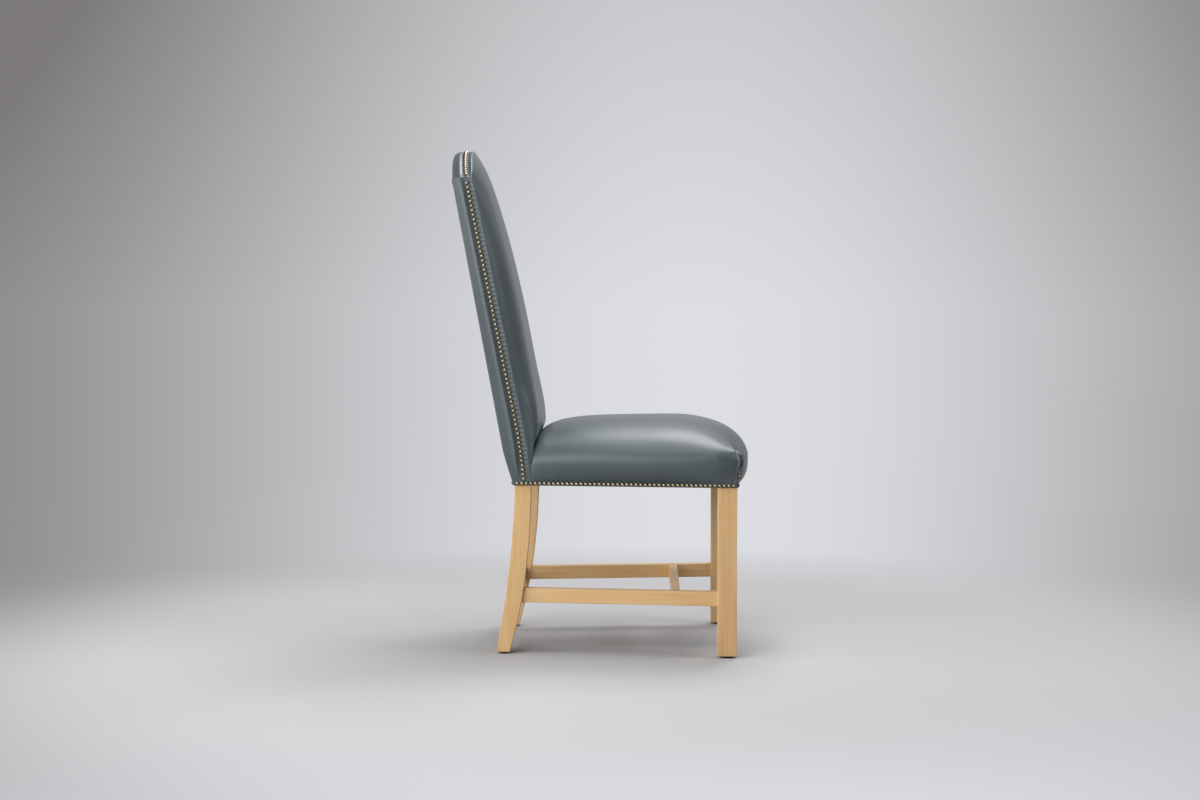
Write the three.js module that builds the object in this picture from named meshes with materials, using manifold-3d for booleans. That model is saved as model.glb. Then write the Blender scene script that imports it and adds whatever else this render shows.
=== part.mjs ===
// Parsons chair: a dining chair with a leather seat and a tall, raked, arched leather back on a wooden frame.
// Lengths are in millimetres. x runs across, y runs from the front legs backwards, z runs up from the floor.
import * as THREE from 'three';
import { mergeVertices } from 'three/addons/utils/BufferGeometryUtils.js';
import Module from 'manifold-3d';

const wasm = await Module();
wasm.setup();

// Driving dimensions
const frontWidth = 480; // over the front legs
const rearWidth = 388; // over the rear posts
const frameDepth = 461.5; // front face of the front legs to rear face of the posts, under the seat
const seatHeight = 488.5; // crown of the seat
const seatThickness = 134.2; // lower edge of the leather to the crown of the seat
const overallHeight = 1055.5; // crown of the arch
const archRise = 62.5; // crown of the arch above the shoulders, where it meets the sides of the back
const backRake = THREE.MathUtils.degToRad(10.54); // lean of the back from the vertical
const backDepth = 85.5; // thickness of the padded back at its middle, along y
const gap = 0.3; // between pieces that touch

// Wood
const legSquare = 39.5;
const postThickness = 34; // across
const postSeatDepth = 34; // along y, just under the seat
const postBendDepth = 38; // along y, where the back part begins
const postTopDepth = 31; // along y, under the crest rail
const rearLegSweep = 38; // how far the rear edge of the sabre leg goes back on its way to the floor
const frontLegSweep = 44.5; // the same for its front edge, which leaves a slimmer foot
const bendDrop = 18.5; // crown of the seat down to where the post has reached the rake of the back
const railThickness = 22;
const railRise = 2.7; // lower edge of the leather to the seat rails
const railHeight = 45;
const blockReach = 46; // along each rail
const blockInset = 6.5; // from the lower and upper edges of the rails
const stretcherThickness = 22;
const stretcherTop = 137.7;
const stretcherBottom = 107.7;
const stretcherInset = 8; // back from the outer faces of the legs
const crossWidth = 17.5; // cross stretcher, along y
const crossFromFront = 116.5; // front legs' front face to the cross stretcher
const rearCrossFromFace = 14; // the posts' front face at the stretchers' tops to the rear stretcher
const crestDrop = 88; // the shoulders down to the crest rail's lower edge
const backRailDrop = 48.5; // crown of the seat down to the lower back rail's lower edge
const backRailHeight = 60;
const backRailFromRear = 14; // behind it, to the leather of the outside back
const tenonLength = 16;
const tenonThickness = 8;
const tenonShoulder = 7; // wood above and below a tenon
const smallTenonLength = 10; // on the cross stretcher and the rear stretcher

// Leather, padding and webbing
const leatherThickness = 1.5;
const foamClearance = 0.6; // the leather to the foam inside it
const coverStandOff = 2.2; // outer face of the leather from the wood under it
const backStandOff = 10.6; // straight rear line of the back, carried down to the lower edge, from the posts
const rearPad = 9; // outer face of the outside back from the posts
const tuckHeight = 75; // the rear leather draws in to the posts over this height
const tuckPower = 1.3;
const seamGap = 0.8; // between two covers that meet
const seatToPost = 5; // rear of the seat cover to the front of the posts
const flatBand = 10; // flat leather under the nails, from its lower edge
const bulgeRise = 47.7; // its lower edge to where the seat stands out furthest
const frontBulge = 29.8;
const sideBulge = 9;
const cornerBulge = 5;
const rearBulge = 3.5; // at the rear end of the sides
const frontBulgePower = 3;
const sideBulgePower = 2.2;
const frontReach = 155; // width of the rounded stretch at the top of each side of the seat
const sideReach = 242;
const rearReach = 250;
const frontPower = 2.05; // 2 is an ellipse, and more is fuller
const sidePower = 2.4;
const rearPower = 4;
const spineFromFront = 110; // the line down the middle, where the rounded stretches meet
const spineFromRear = 125;
const ringReach = 130; // the rings of the crown spread over this much from its edge
const seatCornerRadius = 2.6;
const seatRearRadius = 4;
const rearNotch = 8; // the cover is cut away this far forward of its rear, where the rails pass
const wallOverPost = 2; // flat side of the back, forward of the post inside it
const backSideReach = 120;
const backSidePower = 2.5;
const backTopReach = 380;
const backTopPower = 1.85;
const insideDrop = 64.5; // crown of the seat down to the lower edge of the inside back
const padForward = 13.8; // the inside back comes forward over the rear of the seat
const padStartDrop = 56.5; // crown of the seat down to where it starts
const padEndDrop = 14.5;
const wallBlendRise = 31.5; // this far over the crown the side wall of the back has its plain depth
const outsideRadius = 3; // rear edges of the back
const shoulderRadius = 8;
const archEdgeRadius = 17; // rear edge of the arch
const crestPad = 6; // arch of the leather to the crest rail under it
const webThickness = 1.5;
const webWidth = 50;
const backWebWidth = 60;
const dustThickness = 1;

// Nails, screws and glides
const nailPitch = 9.6;
const nailRadius = 4.3;
const nailHeight = 2.3;
const neckHalfWidth = 1.2;
const neckHeight = 0.6;
const nailLineHeight = 4.8; // centre of the lower rows above the lower edge of the leather
const nailFromRearLow = 38; // the nail line from the rear of the back, where the rake begins
const nailFromRearTop = 30; // the same at the shoulder
const nailLowFromPost = 13.5; // the nail line from the front of the post, at its lower end
const cornerNailPitch = 8.3;
const tiltStep = 1; // height over which the tilt of the leather is taken
const screwRadius = 2.5;
const screwLength = 38;
const screwHeadRadius = 5;
const screwHeadHeight = 2.5;
const screwSides = 10;
const frontGlideRadius = 15;
const rearGlideRadius = 8;
const glideHeight = 4;
const glideDraft = 1; // the glide is narrower at the floor by this much
const glidePinRadius = 1.5;
const glidePinLength = 14;
const glideSides = 20;

// Derived places
const coverBottom = seatHeight - seatThickness;
const shoulderHeight = overallHeight - archRise;
const bendTop = seatHeight - bendDrop;
const railBottom = coverBottom + railRise;
const railTop = railBottom + railHeight;
const blockBottom = railBottom + blockInset;
const blockTop = railTop - blockInset;
const crestBottom = shoulderHeight - crestDrop;
const backRailBottom = seatHeight - backRailDrop;
const backRailTop = backRailBottom + backRailHeight;
const bulgeHeight = coverBottom + bulgeRise;
const insideBottom = seatHeight - insideDrop;
const padStart = seatHeight - padStartDrop;
const padEnd = seatHeight - padEndDrop;
const wallBlendEnd = seatHeight + wallBlendRise;
const frontHalf = frontWidth / 2;
const rearHalf = rearWidth / 2;
const rakeSlope = Math.tan(backRake);
const footBottom = glideHeight + gap;
const postFront = frameDepth - postSeatDepth;
const legInner = frontHalf - legSquare;
const postInner = rearHalf - postThickness;
const coverHalfFront = frontHalf + coverStandOff;
const coverHalfRear = rearHalf + coverStandOff;
const seatFront = -coverStandOff;
const seatRear = postFront - seatToPost;
const insideFrontLow = seatRear + seamGap;
const bandTop = coverBottom + flatBand;
const nailLine = coverBottom + nailLineHeight;
const archRadius = (coverHalfRear ** 2 + archRise ** 2) / (archRise + archRise);
const archCentre = overallHeight - archRadius;
const archHalfAngle = Math.asin(coverHalfRear / archRadius);

const { lerp, clamp, smoothstep } = THREE.MathUtils;
const sides = [['right', -1], ['left', 1]]; // as the sitter sees them

// Finishes
const finishes = {
  lacqueredBeech: { color: 0xd8a76d, roughness: 0.42, metalness: 0 },
  frameBeech: { color: 0xc79b66, roughness: 0.7, metalness: 0 },
  slateLeather: { color: 0x5b6669, roughness: 0.4, metalness: 0 },
  antiqueBrass: { color: 0x9a8250, roughness: 0.3, metalness: 1 },
  screwSteel: { color: 0x9aa0a4, roughness: 0.4, metalness: 1 },
  paddingFoam: { color: 0xe5dcc0, roughness: 0.95, metalness: 0 },
  juteWeb: { color: 0x9c8660, roughness: 0.95, metalness: 0 },
  blackCambric: { color: 0x202022, roughness: 0.95, metalness: 0 },
  blackNylon: { color: 0x141414, roughness: 0.55, metalness: 0 },
};

const chair = new THREE.Group();

function addPiece(name, geometry, finish) {
  const material = new THREE.MeshStandardMaterial({ ...finishes[finish], flatShading: true });
  const piece = new THREE.Mesh(geometry, material);
  piece.name = name;
  chair.add(piece);
}

// A geometry as a solid for joining and cutting.
function solidOf(geometry) {
  const bare = geometry.clone();
  bare.deleteAttribute('normal');
  bare.deleteAttribute('uv');
  const merged = mergeVertices(bare);
  const corners = merged.index.array;
  const triVerts = [];
  for (let i = 0; i < corners.length; i += 3) {
    const [a, b, c] = corners.slice(i, i + 3);
    if (a !== b && b !== c && c !== a) triVerts.push(a, b, c);
  }
  return new wasm.Manifold(new wasm.Mesh({
    numProp: 3,
    vertProperties: merged.attributes.position.array,
    triVerts: new Uint32Array(triVerts),
  }));
}

function geometryOf(solid) {
  const mesh = solid.getMesh();
  const geometry = new THREE.BufferGeometry();
  geometry.setAttribute('position', new THREE.BufferAttribute(mesh.vertProperties, mesh.numProp));
  geometry.setIndex(new THREE.BufferAttribute(mesh.triVerts, 1));
  geometry.computeVertexNormals();
  return geometry;
}

const cutAway = (body, cutters) => cutters.reduce((left, cutter) => left.subtract(cutter), body);
const joined = (bodies) => bodies.reduce((whole, body) => whole.add(body));

// Plates: an outline in one plane, extruded at right angles to it
function extruded(points, depth) {
  const shape = new THREE.Shape(points.map(([a, b]) => new THREE.Vector2(a, b)));
  return new THREE.ExtrudeGeometry(shape, { depth, bevelEnabled: false });
}

// Points are [x, y], and the plate fills bottom to top.
const planPlate = (points, bottom, top) =>
  solidOf(extruded(points, top - bottom).translate(0, 0, bottom));

// Points are [y, z], and the plate fills from one x to another.
function sidePlate(points, fromX, toX) {
  const turn = new THREE.Matrix4().makeBasis(
    new THREE.Vector3(0, 1, 0), new THREE.Vector3(0, 0, 1), new THREE.Vector3(1, 0, 0));
  return solidOf(extruded(points, toX - fromX).applyMatrix4(turn).translate(fromX, 0, 0));
}

// A block between two heights whose front and rear are given as y for each height.
const leaningBlock = (fromX, toX, frontAt, rearAt, bottom, top) => sidePlate(
  [[frontAt(bottom), bottom], [rearAt(bottom), bottom], [rearAt(top), top], [frontAt(top), top]],
  fromX, toX);

// A closed profile of [radius, height] turned about the z axis.
function turned(profile, sideCount) {
  const outline = profile.map(([radius, height]) => new THREE.Vector2(radius, height));
  return new THREE.LatheGeometry(outline, sideCount).rotateX(Math.PI / 2);
}

// Lines of the back. y grows backwards, so a point further forward has a smaller y.
function rearY(z) {
  const above = Math.max(0, 1 - (z - coverBottom) / tuckHeight);
  const tuck = (backStandOff - coverStandOff) * Math.min(above, 1) ** tuckPower;
  return frameDepth + backStandOff + (z - coverBottom) * rakeSlope - tuck;
}

function nailY(z) {
  const shareUp = clamp((z - bendTop) / (shoulderHeight - bendTop), 0, 1);
  const above = rearY(Math.max(z, bendTop)) - lerp(nailFromRearLow, nailFromRearTop, shareUp);
  if (z >= bendTop) return above;
  const bendShare = Math.max(0, (z - coverBottom) / (bendTop - coverBottom));
  return lerp(postFront + nailLowFromPost, above, bendShare ** tuckPower);
}

const archZ = (x) => archCentre + Math.sqrt(archRadius ** 2 - x ** 2);

// Rises from 0 at the edge to 1 at the given reach, as a quarter of a superellipse.
function rounded(inset, reach, power) {
  const left = 1 - clamp(inset / reach, 0, 1);
  return (1 - left ** power) ** (1 / power);
}

// Depth of the side wall of the back, forward of its rear line.
function sideWallDepth(z) {
  const plain = rearPad + postDepthAt(z) + wallOverPost;
  return lerp(rearY(z) - insideFrontLow, plain, smoothstep(z, padStart, wallBlendEnd));
}

// Depth of the padded front of the back, forward of its rear line.
function frontDepth(x, z) {
  const middle = rearY(z) - insideFrontLow + padForward * smoothstep(z, padStart, padEnd);
  const edge = sideWallDepth(z);
  const sideRise = rounded(coverHalfRear - Math.abs(x), backSideReach, backSidePower);
  const topRise = rounded(archZ(x) - z, backTopReach, backTopPower);
  return edge + (Math.min(middle, backDepth) - edge) * sideRise * topRise;
}

// A closed skin between an outer and an inner grid of points. The grids share their first ring, joined by a
// narrow strip, and close on themselves at the last ring. A loop also joins its last column to the first.
function closedSkin(outerAt, innerAt, columnCount, ringCount, isLoop) {
  const vertices = [];
  const triangles = [];
  const known = new Map();
  const indexOf = (point) => {
    const key = point.map((value) => value.toFixed(3)).join();
    if (!known.has(key)) {
      known.set(key, vertices.length / 3);
      vertices.push(...point);
    }
    return known.get(key);
  };
  const addTriangle = (a, b, c) => {
    if (a !== b && b !== c && c !== a) triangles.push(a, b, c);
  };
  const addQuad = (a, b, c, d) => {
    addTriangle(a, b, c);
    addTriangle(a, c, d);
  };
  const gridOf = (pointAt) => Array.from({ length: columnCount + 1 }, (_, i) =>
    Array.from({ length: ringCount + 1 }, (_, j) => indexOf(pointAt(isLoop ? i % columnCount : i, j))));
  const outer = gridOf(outerAt);
  const inner = gridOf(innerAt);
  for (let i = 0; i < columnCount; i++) {
    for (let j = 0; j < ringCount; j++) {
      addQuad(outer[i][j], outer[i + 1][j], outer[i + 1][j + 1], outer[i][j + 1]);
      addQuad(inner[i][j], inner[i][j + 1], inner[i + 1][j + 1], inner[i + 1][j]);
    }
    addQuad(outer[i][0], inner[i][0], inner[i + 1][0], outer[i + 1][0]);
  }
  if (!isLoop) {
    for (let j = 0; j < ringCount; j++) {
      addQuad(outer[0][j], outer[0][j + 1], inner[0][j + 1], inner[0][j]);
      const last = columnCount;
      addQuad(outer[last][j], inner[last][j], inner[last][j + 1], outer[last][j + 1]);
    }
  }
  return facingOut(vertices, triangles);
}

// Six times the volume is the sum of the corner products, and it is negative when the faces point inwards.
function facingOut(vertices, triangles) {
  const corner = (k) => new THREE.Vector3().fromArray(vertices, triangles[k] * 3);
  let volume = 0;
  for (let k = 0; k < triangles.length; k += 3) volume += corner(k).dot(corner(k + 1).cross(corner(k + 2)));
  if (volume < 0) triangles.reverse();
  const geometry = new THREE.BufferGeometry();
  geometry.setAttribute('position', new THREE.Float32BufferAttribute(vertices, 3));
  geometry.setIndex(triangles);
  geometry.computeVertexNormals();
  return geometry;
}

// Rear posts: one sawn piece each, a sabre leg below and a raked post above.
const legSweepShares = [[1, 1, 1], [0.79, 0.7, 0.61], [0.6, 0.42, 0.335], [0.31, 0.15, 0.09], [0, 0, 0]];
const bendShares = [[0.55, 0.47, 0.39], [1, 1, 1]];
const postTop = crestBottom - gap;
const bendRear = rearY(bendTop) - rearPad;
const postRearAt = (z) => rearY(z) - rearPad;
const postDepthAt = (z) =>
  lerp(postBendDepth, postTopDepth, Math.min((z - bendTop) / (crestBottom - bendTop), 1));
const postFrontAt = (z) => postRearAt(z) - postDepthAt(z);

function postProfile() {
  const edge = (legY, sweep, bendY, column) => [
    ...legSweepShares.map((row) => [legY + sweep * row[column], lerp(coverBottom, footBottom, row[0])]),
    ...bendShares.map((row) => [lerp(legY, bendY, row[column]), lerp(coverBottom, bendTop, row[0])]),
  ];
  const smooth = (points) => new THREE.SplineCurve(points.map(([y, z]) => new THREE.Vector2(y, z)))
    .getPoints(3 * (points.length - 1)).map((point) => point.toArray());
  const rearEdge = smooth(edge(frameDepth, rearLegSweep, bendRear, 1));
  const frontEdge = smooth(edge(postFront, frontLegSweep, postFrontAt(bendTop), 2));
  const topEnd = [[postRearAt(postTop), postTop], [postFrontAt(postTop), postTop]];
  return [...rearEdge, ...topEnd, ...frontEdge.reverse()];
}

// A post stands on one side. Shifted forward by a gap, it trims the ends of the pieces that meet it.
function postBody(side, shift) {
  const profile = postProfile().map(([y, z]) => [y - shift, z]);
  const inner = side * postInner;
  const outer = side * rearHalf;
  return sidePlate(profile, Math.min(inner, outer), Math.max(inner, outer));
}

// Bars that run from a front leg back to a post, along the splayed side of the frame
const faceX = (y) => lerp(frontHalf, rearHalf, (y - legSquare) / (postFront - legSquare));

function splayedBar(side, fromY, toY, inset, thickness, bottom, top) {
  const edges = [[inset, fromY], [inset, toY], [inset + thickness, toY], [inset + thickness, fromY]];
  return planPlate(edges.map(([inwards, y]) => [side * (faceX(y) - inwards), y]), bottom, top);
}

// The bar with a tenon at each end. Its tenons, grown by the gap, are the mortises.
function sideMember(side, bar) {
  const middle = (bar.top + bar.bottom) / 2;
  const rearFace = bar.rearFace;
  const body = splayedBar(side, legSquare + gap, rearFace + postSeatDepth / 2,
    bar.inset, bar.thickness, bar.bottom, bar.top).subtract(postBody(side, gap));
  const tenonInset = bar.inset + (bar.thickness - tenonThickness) / 2;
  const tenonHalf = middle - bar.bottom - tenonShoulder;
  const tenon = (fromY, toY, grow) => splayedBar(side, fromY - grow, toY + grow, tenonInset - grow,
    tenonThickness + grow + grow, middle - tenonHalf - grow, middle + tenonHalf + grow);
  const frontTenon = (grow) => tenon(legSquare - tenonLength, legSquare + tenonLength, grow);
  const rearTenon = (grow) => tenon(rearFace - tenonLength, rearFace + tenonLength, grow);
  return {
    body: joined([body, frontTenon(0), rearTenon(0)]),
    frontMortise: frontTenon(gap),
    rearMortise: rearTenon(gap),
  };
}

// Bars that run across, with tenons on both ends
function crossMember(half, fromY, toY, bottom, top, length) {
  const plate = (halfLength, frontY, backY, low, high) => planPlate(
    [[-halfLength, frontY], [halfLength, frontY], [halfLength, backY], [-halfLength, backY]], low, high);
  const middle = (fromY + toY) / 2;
  const tenon = (grow) => plate(half + length + grow, middle - tenonThickness / 2 - grow,
    middle + tenonThickness / 2 + grow, bottom + tenonShoulder - grow, top - tenonShoulder + grow);
  return { body: joined([plate(half - gap, fromY, toY, bottom, top), tenon(0)]), mortise: tenon(gap) };
}

// Glides with a pin that is driven into the foot
function glide(radius, grow) {
  const waist = glidePinRadius + grow;
  const tip = glideHeight + glidePinLength + grow;
  const profile = [[0, 0], [radius - glideDraft, 0], [radius, glideHeight], [waist, glideHeight],
    [waist, tip], [0, tip]];
  return turned(profile, glideSides);
}

// Corner blocks with a screw through each into the leg
function cornerBlock(legX, legY, railY, sideX, turnY) {
  const innerFace = (y) => sideX(y) - railThickness - gap;
  const nearLeg = legY + turnY * gap;
  const farY = legY + turnY * blockReach;
  const alongRail = railY + turnY * gap;
  return [[legX - gap, alongRail], [legX - blockReach, alongRail], [innerFace(farY), farY],
    [innerFace(nearLeg), nearLeg], [legX - gap, nearLeg]];
}

function screwAt(outline, side, grow) {
  const [, from, to, , corner] = outline;
  const middle = new THREE.Vector2((from[0] + to[0]) / 2, (from[1] + to[1]) / 2);
  const along = new THREE.Vector2(to[1] - from[1], from[0] - to[0]).normalize();
  if (along.dot(new THREE.Vector2(...corner).sub(middle)) < 0) along.negate();
  const radius = screwRadius + grow;
  const headRadius = screwHeadRadius + grow;
  const profile = [[0, -screwHeadHeight - gap], [headRadius, -screwHeadHeight - gap], [headRadius, -gap],
    [radius, -gap], [radius, screwLength + grow], [0, screwLength + grow]];
  const direction = new THREE.Vector3(side * along.x, along.y, 0);
  const turn = new THREE.Quaternion().setFromUnitVectors(new THREE.Vector3(0, 0, 1), direction);
  return turned(profile, screwSides).applyQuaternion(turn)
    .translate(side * middle.x, middle.y, (blockTop + blockBottom) / 2);
}

const frontBlockOutline = cornerBlock(legInner, legSquare, railThickness, faceX, 1);
const rearRailFront = frameDepth - railThickness;
const rearBlockOutline = cornerBlock(postInner, postFront, rearRailFront, faceX, -1);
const mirrored = (outline, side) => outline.map(([x, y]) => [side * x, y]);

function buildFrame() {
  const frontRail = crossMember(legInner, 0, railThickness, railBottom, railTop, tenonLength);
  const rearRail = crossMember(postInner, rearRailFront, frameDepth, railBottom, railTop, tenonLength);
  addPiece('front_seat_rail', geometryOf(frontRail.body), 'frameBeech');
  addPiece('rear_seat_rail', geometryOf(rearRail.body), 'frameBeech');

  const backRailFront = backRailFromRear + railThickness;
  const backRailPart = (half, shoulder) => leaningBlock(-half, half,
    (z) => rearY(z) - backRailFront + shoulder, (z) => rearY(z) - backRailFromRear - shoulder,
    backRailBottom + shoulder, backRailTop - shoulder);
  const backTenon = (grow) => backRailPart(postInner + tenonLength + grow, tenonShoulder - grow);
  const backRail = joined([backRailPart(postInner - gap, 0), backTenon(0)]);
  addPiece('lower_back_rail', geometryOf(backRail), 'frameBeech');

  const crossInset = stretcherInset + stretcherThickness;
  const crossRear = crossFromFront + crossWidth;
  const crossEnds = (grow, inset, front, rear) => [
    [-(faceX(front) - inset + grow), front], [faceX(front) - inset + grow, front],
    [faceX(rear) - inset + grow, rear], [-(faceX(rear) - inset + grow), rear]];
  const crossBody = planPlate(
    crossEnds(-gap, crossInset, crossFromFront, crossRear), stretcherBottom, stretcherTop);
  const crossMiddle = crossFromFront + crossWidth / 2;
  const crossTenon = (grow) => planPlate(crossEnds(smallTenonLength + grow, crossInset,
    crossMiddle - tenonThickness / 2 - grow, crossMiddle + tenonThickness / 2 + grow),
    stretcherBottom + tenonShoulder - grow, stretcherTop - tenonShoulder + grow);
  addPiece('cross_stretcher', geometryOf(joined([crossBody, crossTenon(0)])), 'lacqueredBeech');

  const stretcherFace = postFront + frontLegSweep * legSweepShares[2][2];
  const rearCrossFront = stretcherFace + rearCrossFromFace;
  const rearCross = crossMember(postInner, rearCrossFront, rearCrossFront + crossWidth,
    stretcherBottom, stretcherTop, smallTenonLength);
  addPiece('rear_stretcher', geometryOf(rearCross.body), 'lacqueredBeech');

  const crestTenons = [];
  for (const [label, side] of sides) {
    const rail = sideMember(side, { inset: 0, thickness: railThickness, bottom: railBottom, top: railTop,
      rearFace: postFront });
    const stretcher = sideMember(side, { inset: stretcherInset, thickness: stretcherThickness,
      bottom: stretcherBottom, top: stretcherTop, rearFace: stretcherFace });
    addPiece(label + '_seat_rail', geometryOf(rail.body), 'frameBeech');
    addPiece(label + '_stretcher', geometryOf(stretcher.body.subtract(crossTenon(gap))), 'lacqueredBeech');

    const screwHole = (outline) => solidOf(screwAt(outline, side, gap));
    for (const [place, outline] of [['front', frontBlockOutline], ['rear', rearBlockOutline]]) {
      const name = place + '_' + label;
      const block = planPlate(mirrored(outline, side), blockBottom, blockTop).subtract(screwHole(outline));
      addPiece(name + '_corner_block', geometryOf(block), 'frameBeech');
      addPiece(name + '_block_screw', screwAt(outline, side, 0), 'screwSteel');
    }

    const legX = side * (frontHalf - legSquare / 2);
    const footY = frameDepth + rearLegSweep - (postSeatDepth + rearLegSweep - frontLegSweep) / 2;
    const postX = side * (rearHalf - postThickness / 2);
    const legPlan = mirrored(
      [[legInner, 0], [frontHalf, 0], [frontHalf, legSquare], [legInner, legSquare]], side);
    const legGlideY = legSquare / 2;
    const leg = cutAway(planPlate(legPlan, footBottom, railTop), [
      frontRail.mortise, rail.frontMortise, stretcher.frontMortise, screwHole(frontBlockOutline),
      solidOf(glide(frontGlideRadius, gap).translate(legX, legGlideY, 0))]);
    addPiece(label + '_front_leg', geometryOf(leg), 'lacqueredBeech');
    addPiece(label + '_front_glide', glide(frontGlideRadius, 0).translate(legX, legGlideY, 0), 'blackNylon');

    const tenonHalf = postThickness / 2 - tenonShoulder;
    const crestTenon = (grow) => leaningBlock(postX - tenonHalf - grow, postX + tenonHalf + grow,
      (z) => postFrontAt(z) + tenonShoulder - grow, (z) => postRearAt(z) - tenonShoulder + grow,
      crestBottom - tenonLength, crestBottom + tenonLength + grow);
    crestTenons.push(crestTenon(gap));
    const post = cutAway(postBody(side, 0), [
      rearRail.mortise, rail.rearMortise, stretcher.rearMortise, rearCross.mortise, backTenon(gap),
      screwHole(rearBlockOutline),
      solidOf(glide(rearGlideRadius, gap).translate(postX, footY, 0))]);
    addPiece(label + '_rear_post', geometryOf(post.add(crestTenon(0))), 'lacqueredBeech');
    addPiece(label + '_rear_glide', glide(rearGlideRadius, 0).translate(postX, footY, 0), 'blackNylon');
  }

  // The crest rail is sawn to the arch from a block that leans with the back.
  const archSteps = 16;
  const woodRadius = archRadius - crestPad;
  const woodHalfAngle = Math.asin(rearHalf / woodRadius);
  const arch = Array.from({ length: archSteps + 1 }, (_, k) => {
    const angle = lerp(-woodHalfAngle, woodHalfAngle, k / archSteps);
    return [woodRadius * Math.sin(angle), archCentre + woodRadius * Math.cos(angle)];
  });
  const crestOutline = [[rearHalf, crestBottom], [-rearHalf, crestBottom], ...arch];
  const turn = new THREE.Matrix4().makeBasis(
    new THREE.Vector3(1, 0, 0), new THREE.Vector3(0, 0, 1), new THREE.Vector3(0, -1, 0));
  const lean = new THREE.Matrix4().makeShear(0, 0, 0, 0, 0, rakeSlope);
  const crest = extruded(crestOutline, postTopDepth).applyMatrix4(turn)
    .translate(0, 0, -crestBottom).applyMatrix4(lean).translate(0, postRearAt(crestBottom), crestBottom);
  addPiece('crest_rail', geometryOf(cutAway(solidOf(crest), crestTenons)), 'frameBeech');
}

// Webbing and the dust cover
function buildWebbing() {
  const span = postFront - gap;
  const lower = railTop + gap;
  const upper = lower + webThickness + gap;
  ['right', 'middle', 'left'].forEach((label, k) => {
    const x = (k - 1) * (webWidth + webWidth);
    const strip = [[x - webWidth / 2, gap], [x + webWidth / 2, gap],
      [x + webWidth / 2, span], [x - webWidth / 2, span]];
    const rearEnd = [[x - webWidth / 2, span], [x + webWidth / 2, span],
      [x + webWidth / 2, rearRailFront + tenonLength], [x - webWidth / 2, rearRailFront + tenonLength]];
    const strap = joined([planPlate(strip, lower, lower + webThickness),
      planPlate(rearEnd, lower, lower + webThickness)]);
    addPiece('seat_web_lengthwise_' + label, geometryOf(strap), 'juteWeb');
  });
  ['front', 'middle', 'rear'].forEach((label, k) => {
    const y = legSquare + webWidth + k * (webWidth + webWidth);
    const near = y - webWidth / 2;
    const far = y + webWidth / 2;
    const strip = [[-faceX(near), near], [faceX(near), near], [faceX(far), far], [-faceX(far), far]];
    const strap = planPlate(strip, upper, upper + webThickness);
    addPiece('seat_web_crosswise_' + label, geometryOf(strap), 'juteWeb');
  });
  const backWebHalf = rearHalf - postThickness / 4;
  ['lower', 'middle', 'upper'].forEach((label, k) => {
    const bottom = lerp(backRailTop, crestBottom, (k + 1) / 4) - backWebWidth / 2;
    const strap = leaningBlock(-backWebHalf, backWebHalf, (z) => postFrontAt(z) - gap - webThickness,
      (z) => postFrontAt(z) - gap, bottom, bottom + backWebWidth);
    addPiece('back_web_' + label, geometryOf(strap), 'juteWeb');
  });
  const sideInset = railThickness / 4;
  const rightHalf = [[legInner - gap, sideInset], [legInner - gap, legSquare + gap],
    [faceX(legSquare) - sideInset, legSquare + gap], [faceX(postFront) - sideInset, postFront - gap],
    [postInner - gap, postFront - gap], [postInner - gap, frameDepth - sideInset]];
  const outline = [...rightHalf, ...mirrored(rightHalf, -1).reverse()];
  const top = railBottom - gap;
  addPiece('dust_cover', geometryOf(planPlate(outline, top - dustThickness, top)), 'blackCambric');
}

// The plan of the frame from one y to another, wider than its rails by the given amount
function framePlan(wider, fromY, toY, bottom, top) {
  const near = faceX(fromY) + wider;
  const far = faceX(toY) + wider;
  return planPlate([[-near, fromY], [near, fromY], [far, toY], [-far, toY]], bottom, top);
}

// Outline of the seat at its lower edge, from the middle of the rear round to the middle of the front
function seatOutline() {
  const half = [];
  const straight = (from, to, [nx, ny], count) => {
    for (let k = 0; k < count; k++) {
      half.push({ x: lerp(from[0], to[0], k / count), y: lerp(from[1], to[1], k / count), nx, ny });
    }
  };
  const arc = (centre, radius, fromAngle, toAngle, count) => {
    for (let k = 0; k < count; k++) {
      const angle = lerp(fromAngle, toAngle, k / count);
      const [nx, ny] = [Math.cos(angle), Math.sin(angle)];
      half.push({ x: centre[0] + radius * nx, y: centre[1] + radius * ny, nx, ny });
    }
  };
  const quarter = Math.PI / 2;
  const splay = Math.atan2(frontHalf - rearHalf, postFront - legSquare);
  const sideNormal = [Math.cos(splay), Math.sin(splay)];
  const sideStart = [0, seatRear - seatRearRadius * (1 - sideNormal[1])];
  sideStart[0] = faceX(sideStart[1]) + coverStandOff;
  const rearCorner = [sideStart[0] - seatRearRadius * sideNormal[0], seatRear - seatRearRadius];
  const frontCorner = [coverHalfFront - seatCornerRadius, seatFront + seatCornerRadius];
  straight([0, seatRear], [rearCorner[0], seatRear], [0, 1], 3);
  arc(rearCorner, seatRearRadius, quarter, splay, 2);
  straight(sideStart, [coverHalfFront, legSquare], sideNormal, 8);
  straight([coverHalfFront, legSquare], [coverHalfFront, frontCorner[1]], [1, 0], 1);
  arc(frontCorner, seatCornerRadius, 0, -quarter, 4);
  straight([frontCorner[0], seatFront], [0, seatFront], [0, -1], 5);
  half.push({ x: 0, y: seatFront, nx: 0, ny: -1 });
  const otherHalf = half.slice(1, -1).reverse().map((at) => ({ ...at, x: -at.x, nx: -at.nx }));
  return [...half, ...otherHalf];
}

const seatStations = seatOutline();
const spineFront = seatFront + spineFromFront;
const spineRear = seatRear - spineFromRear;

function sideBulgeAt(y) {
  const alongSide = clamp((y - seatFront) / (seatRear - seatFront), 0, 1);
  return lerp(cornerBulge, rearBulge, alongSide) + sideBulge * Math.sin(Math.PI * alongSide);
}

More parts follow.
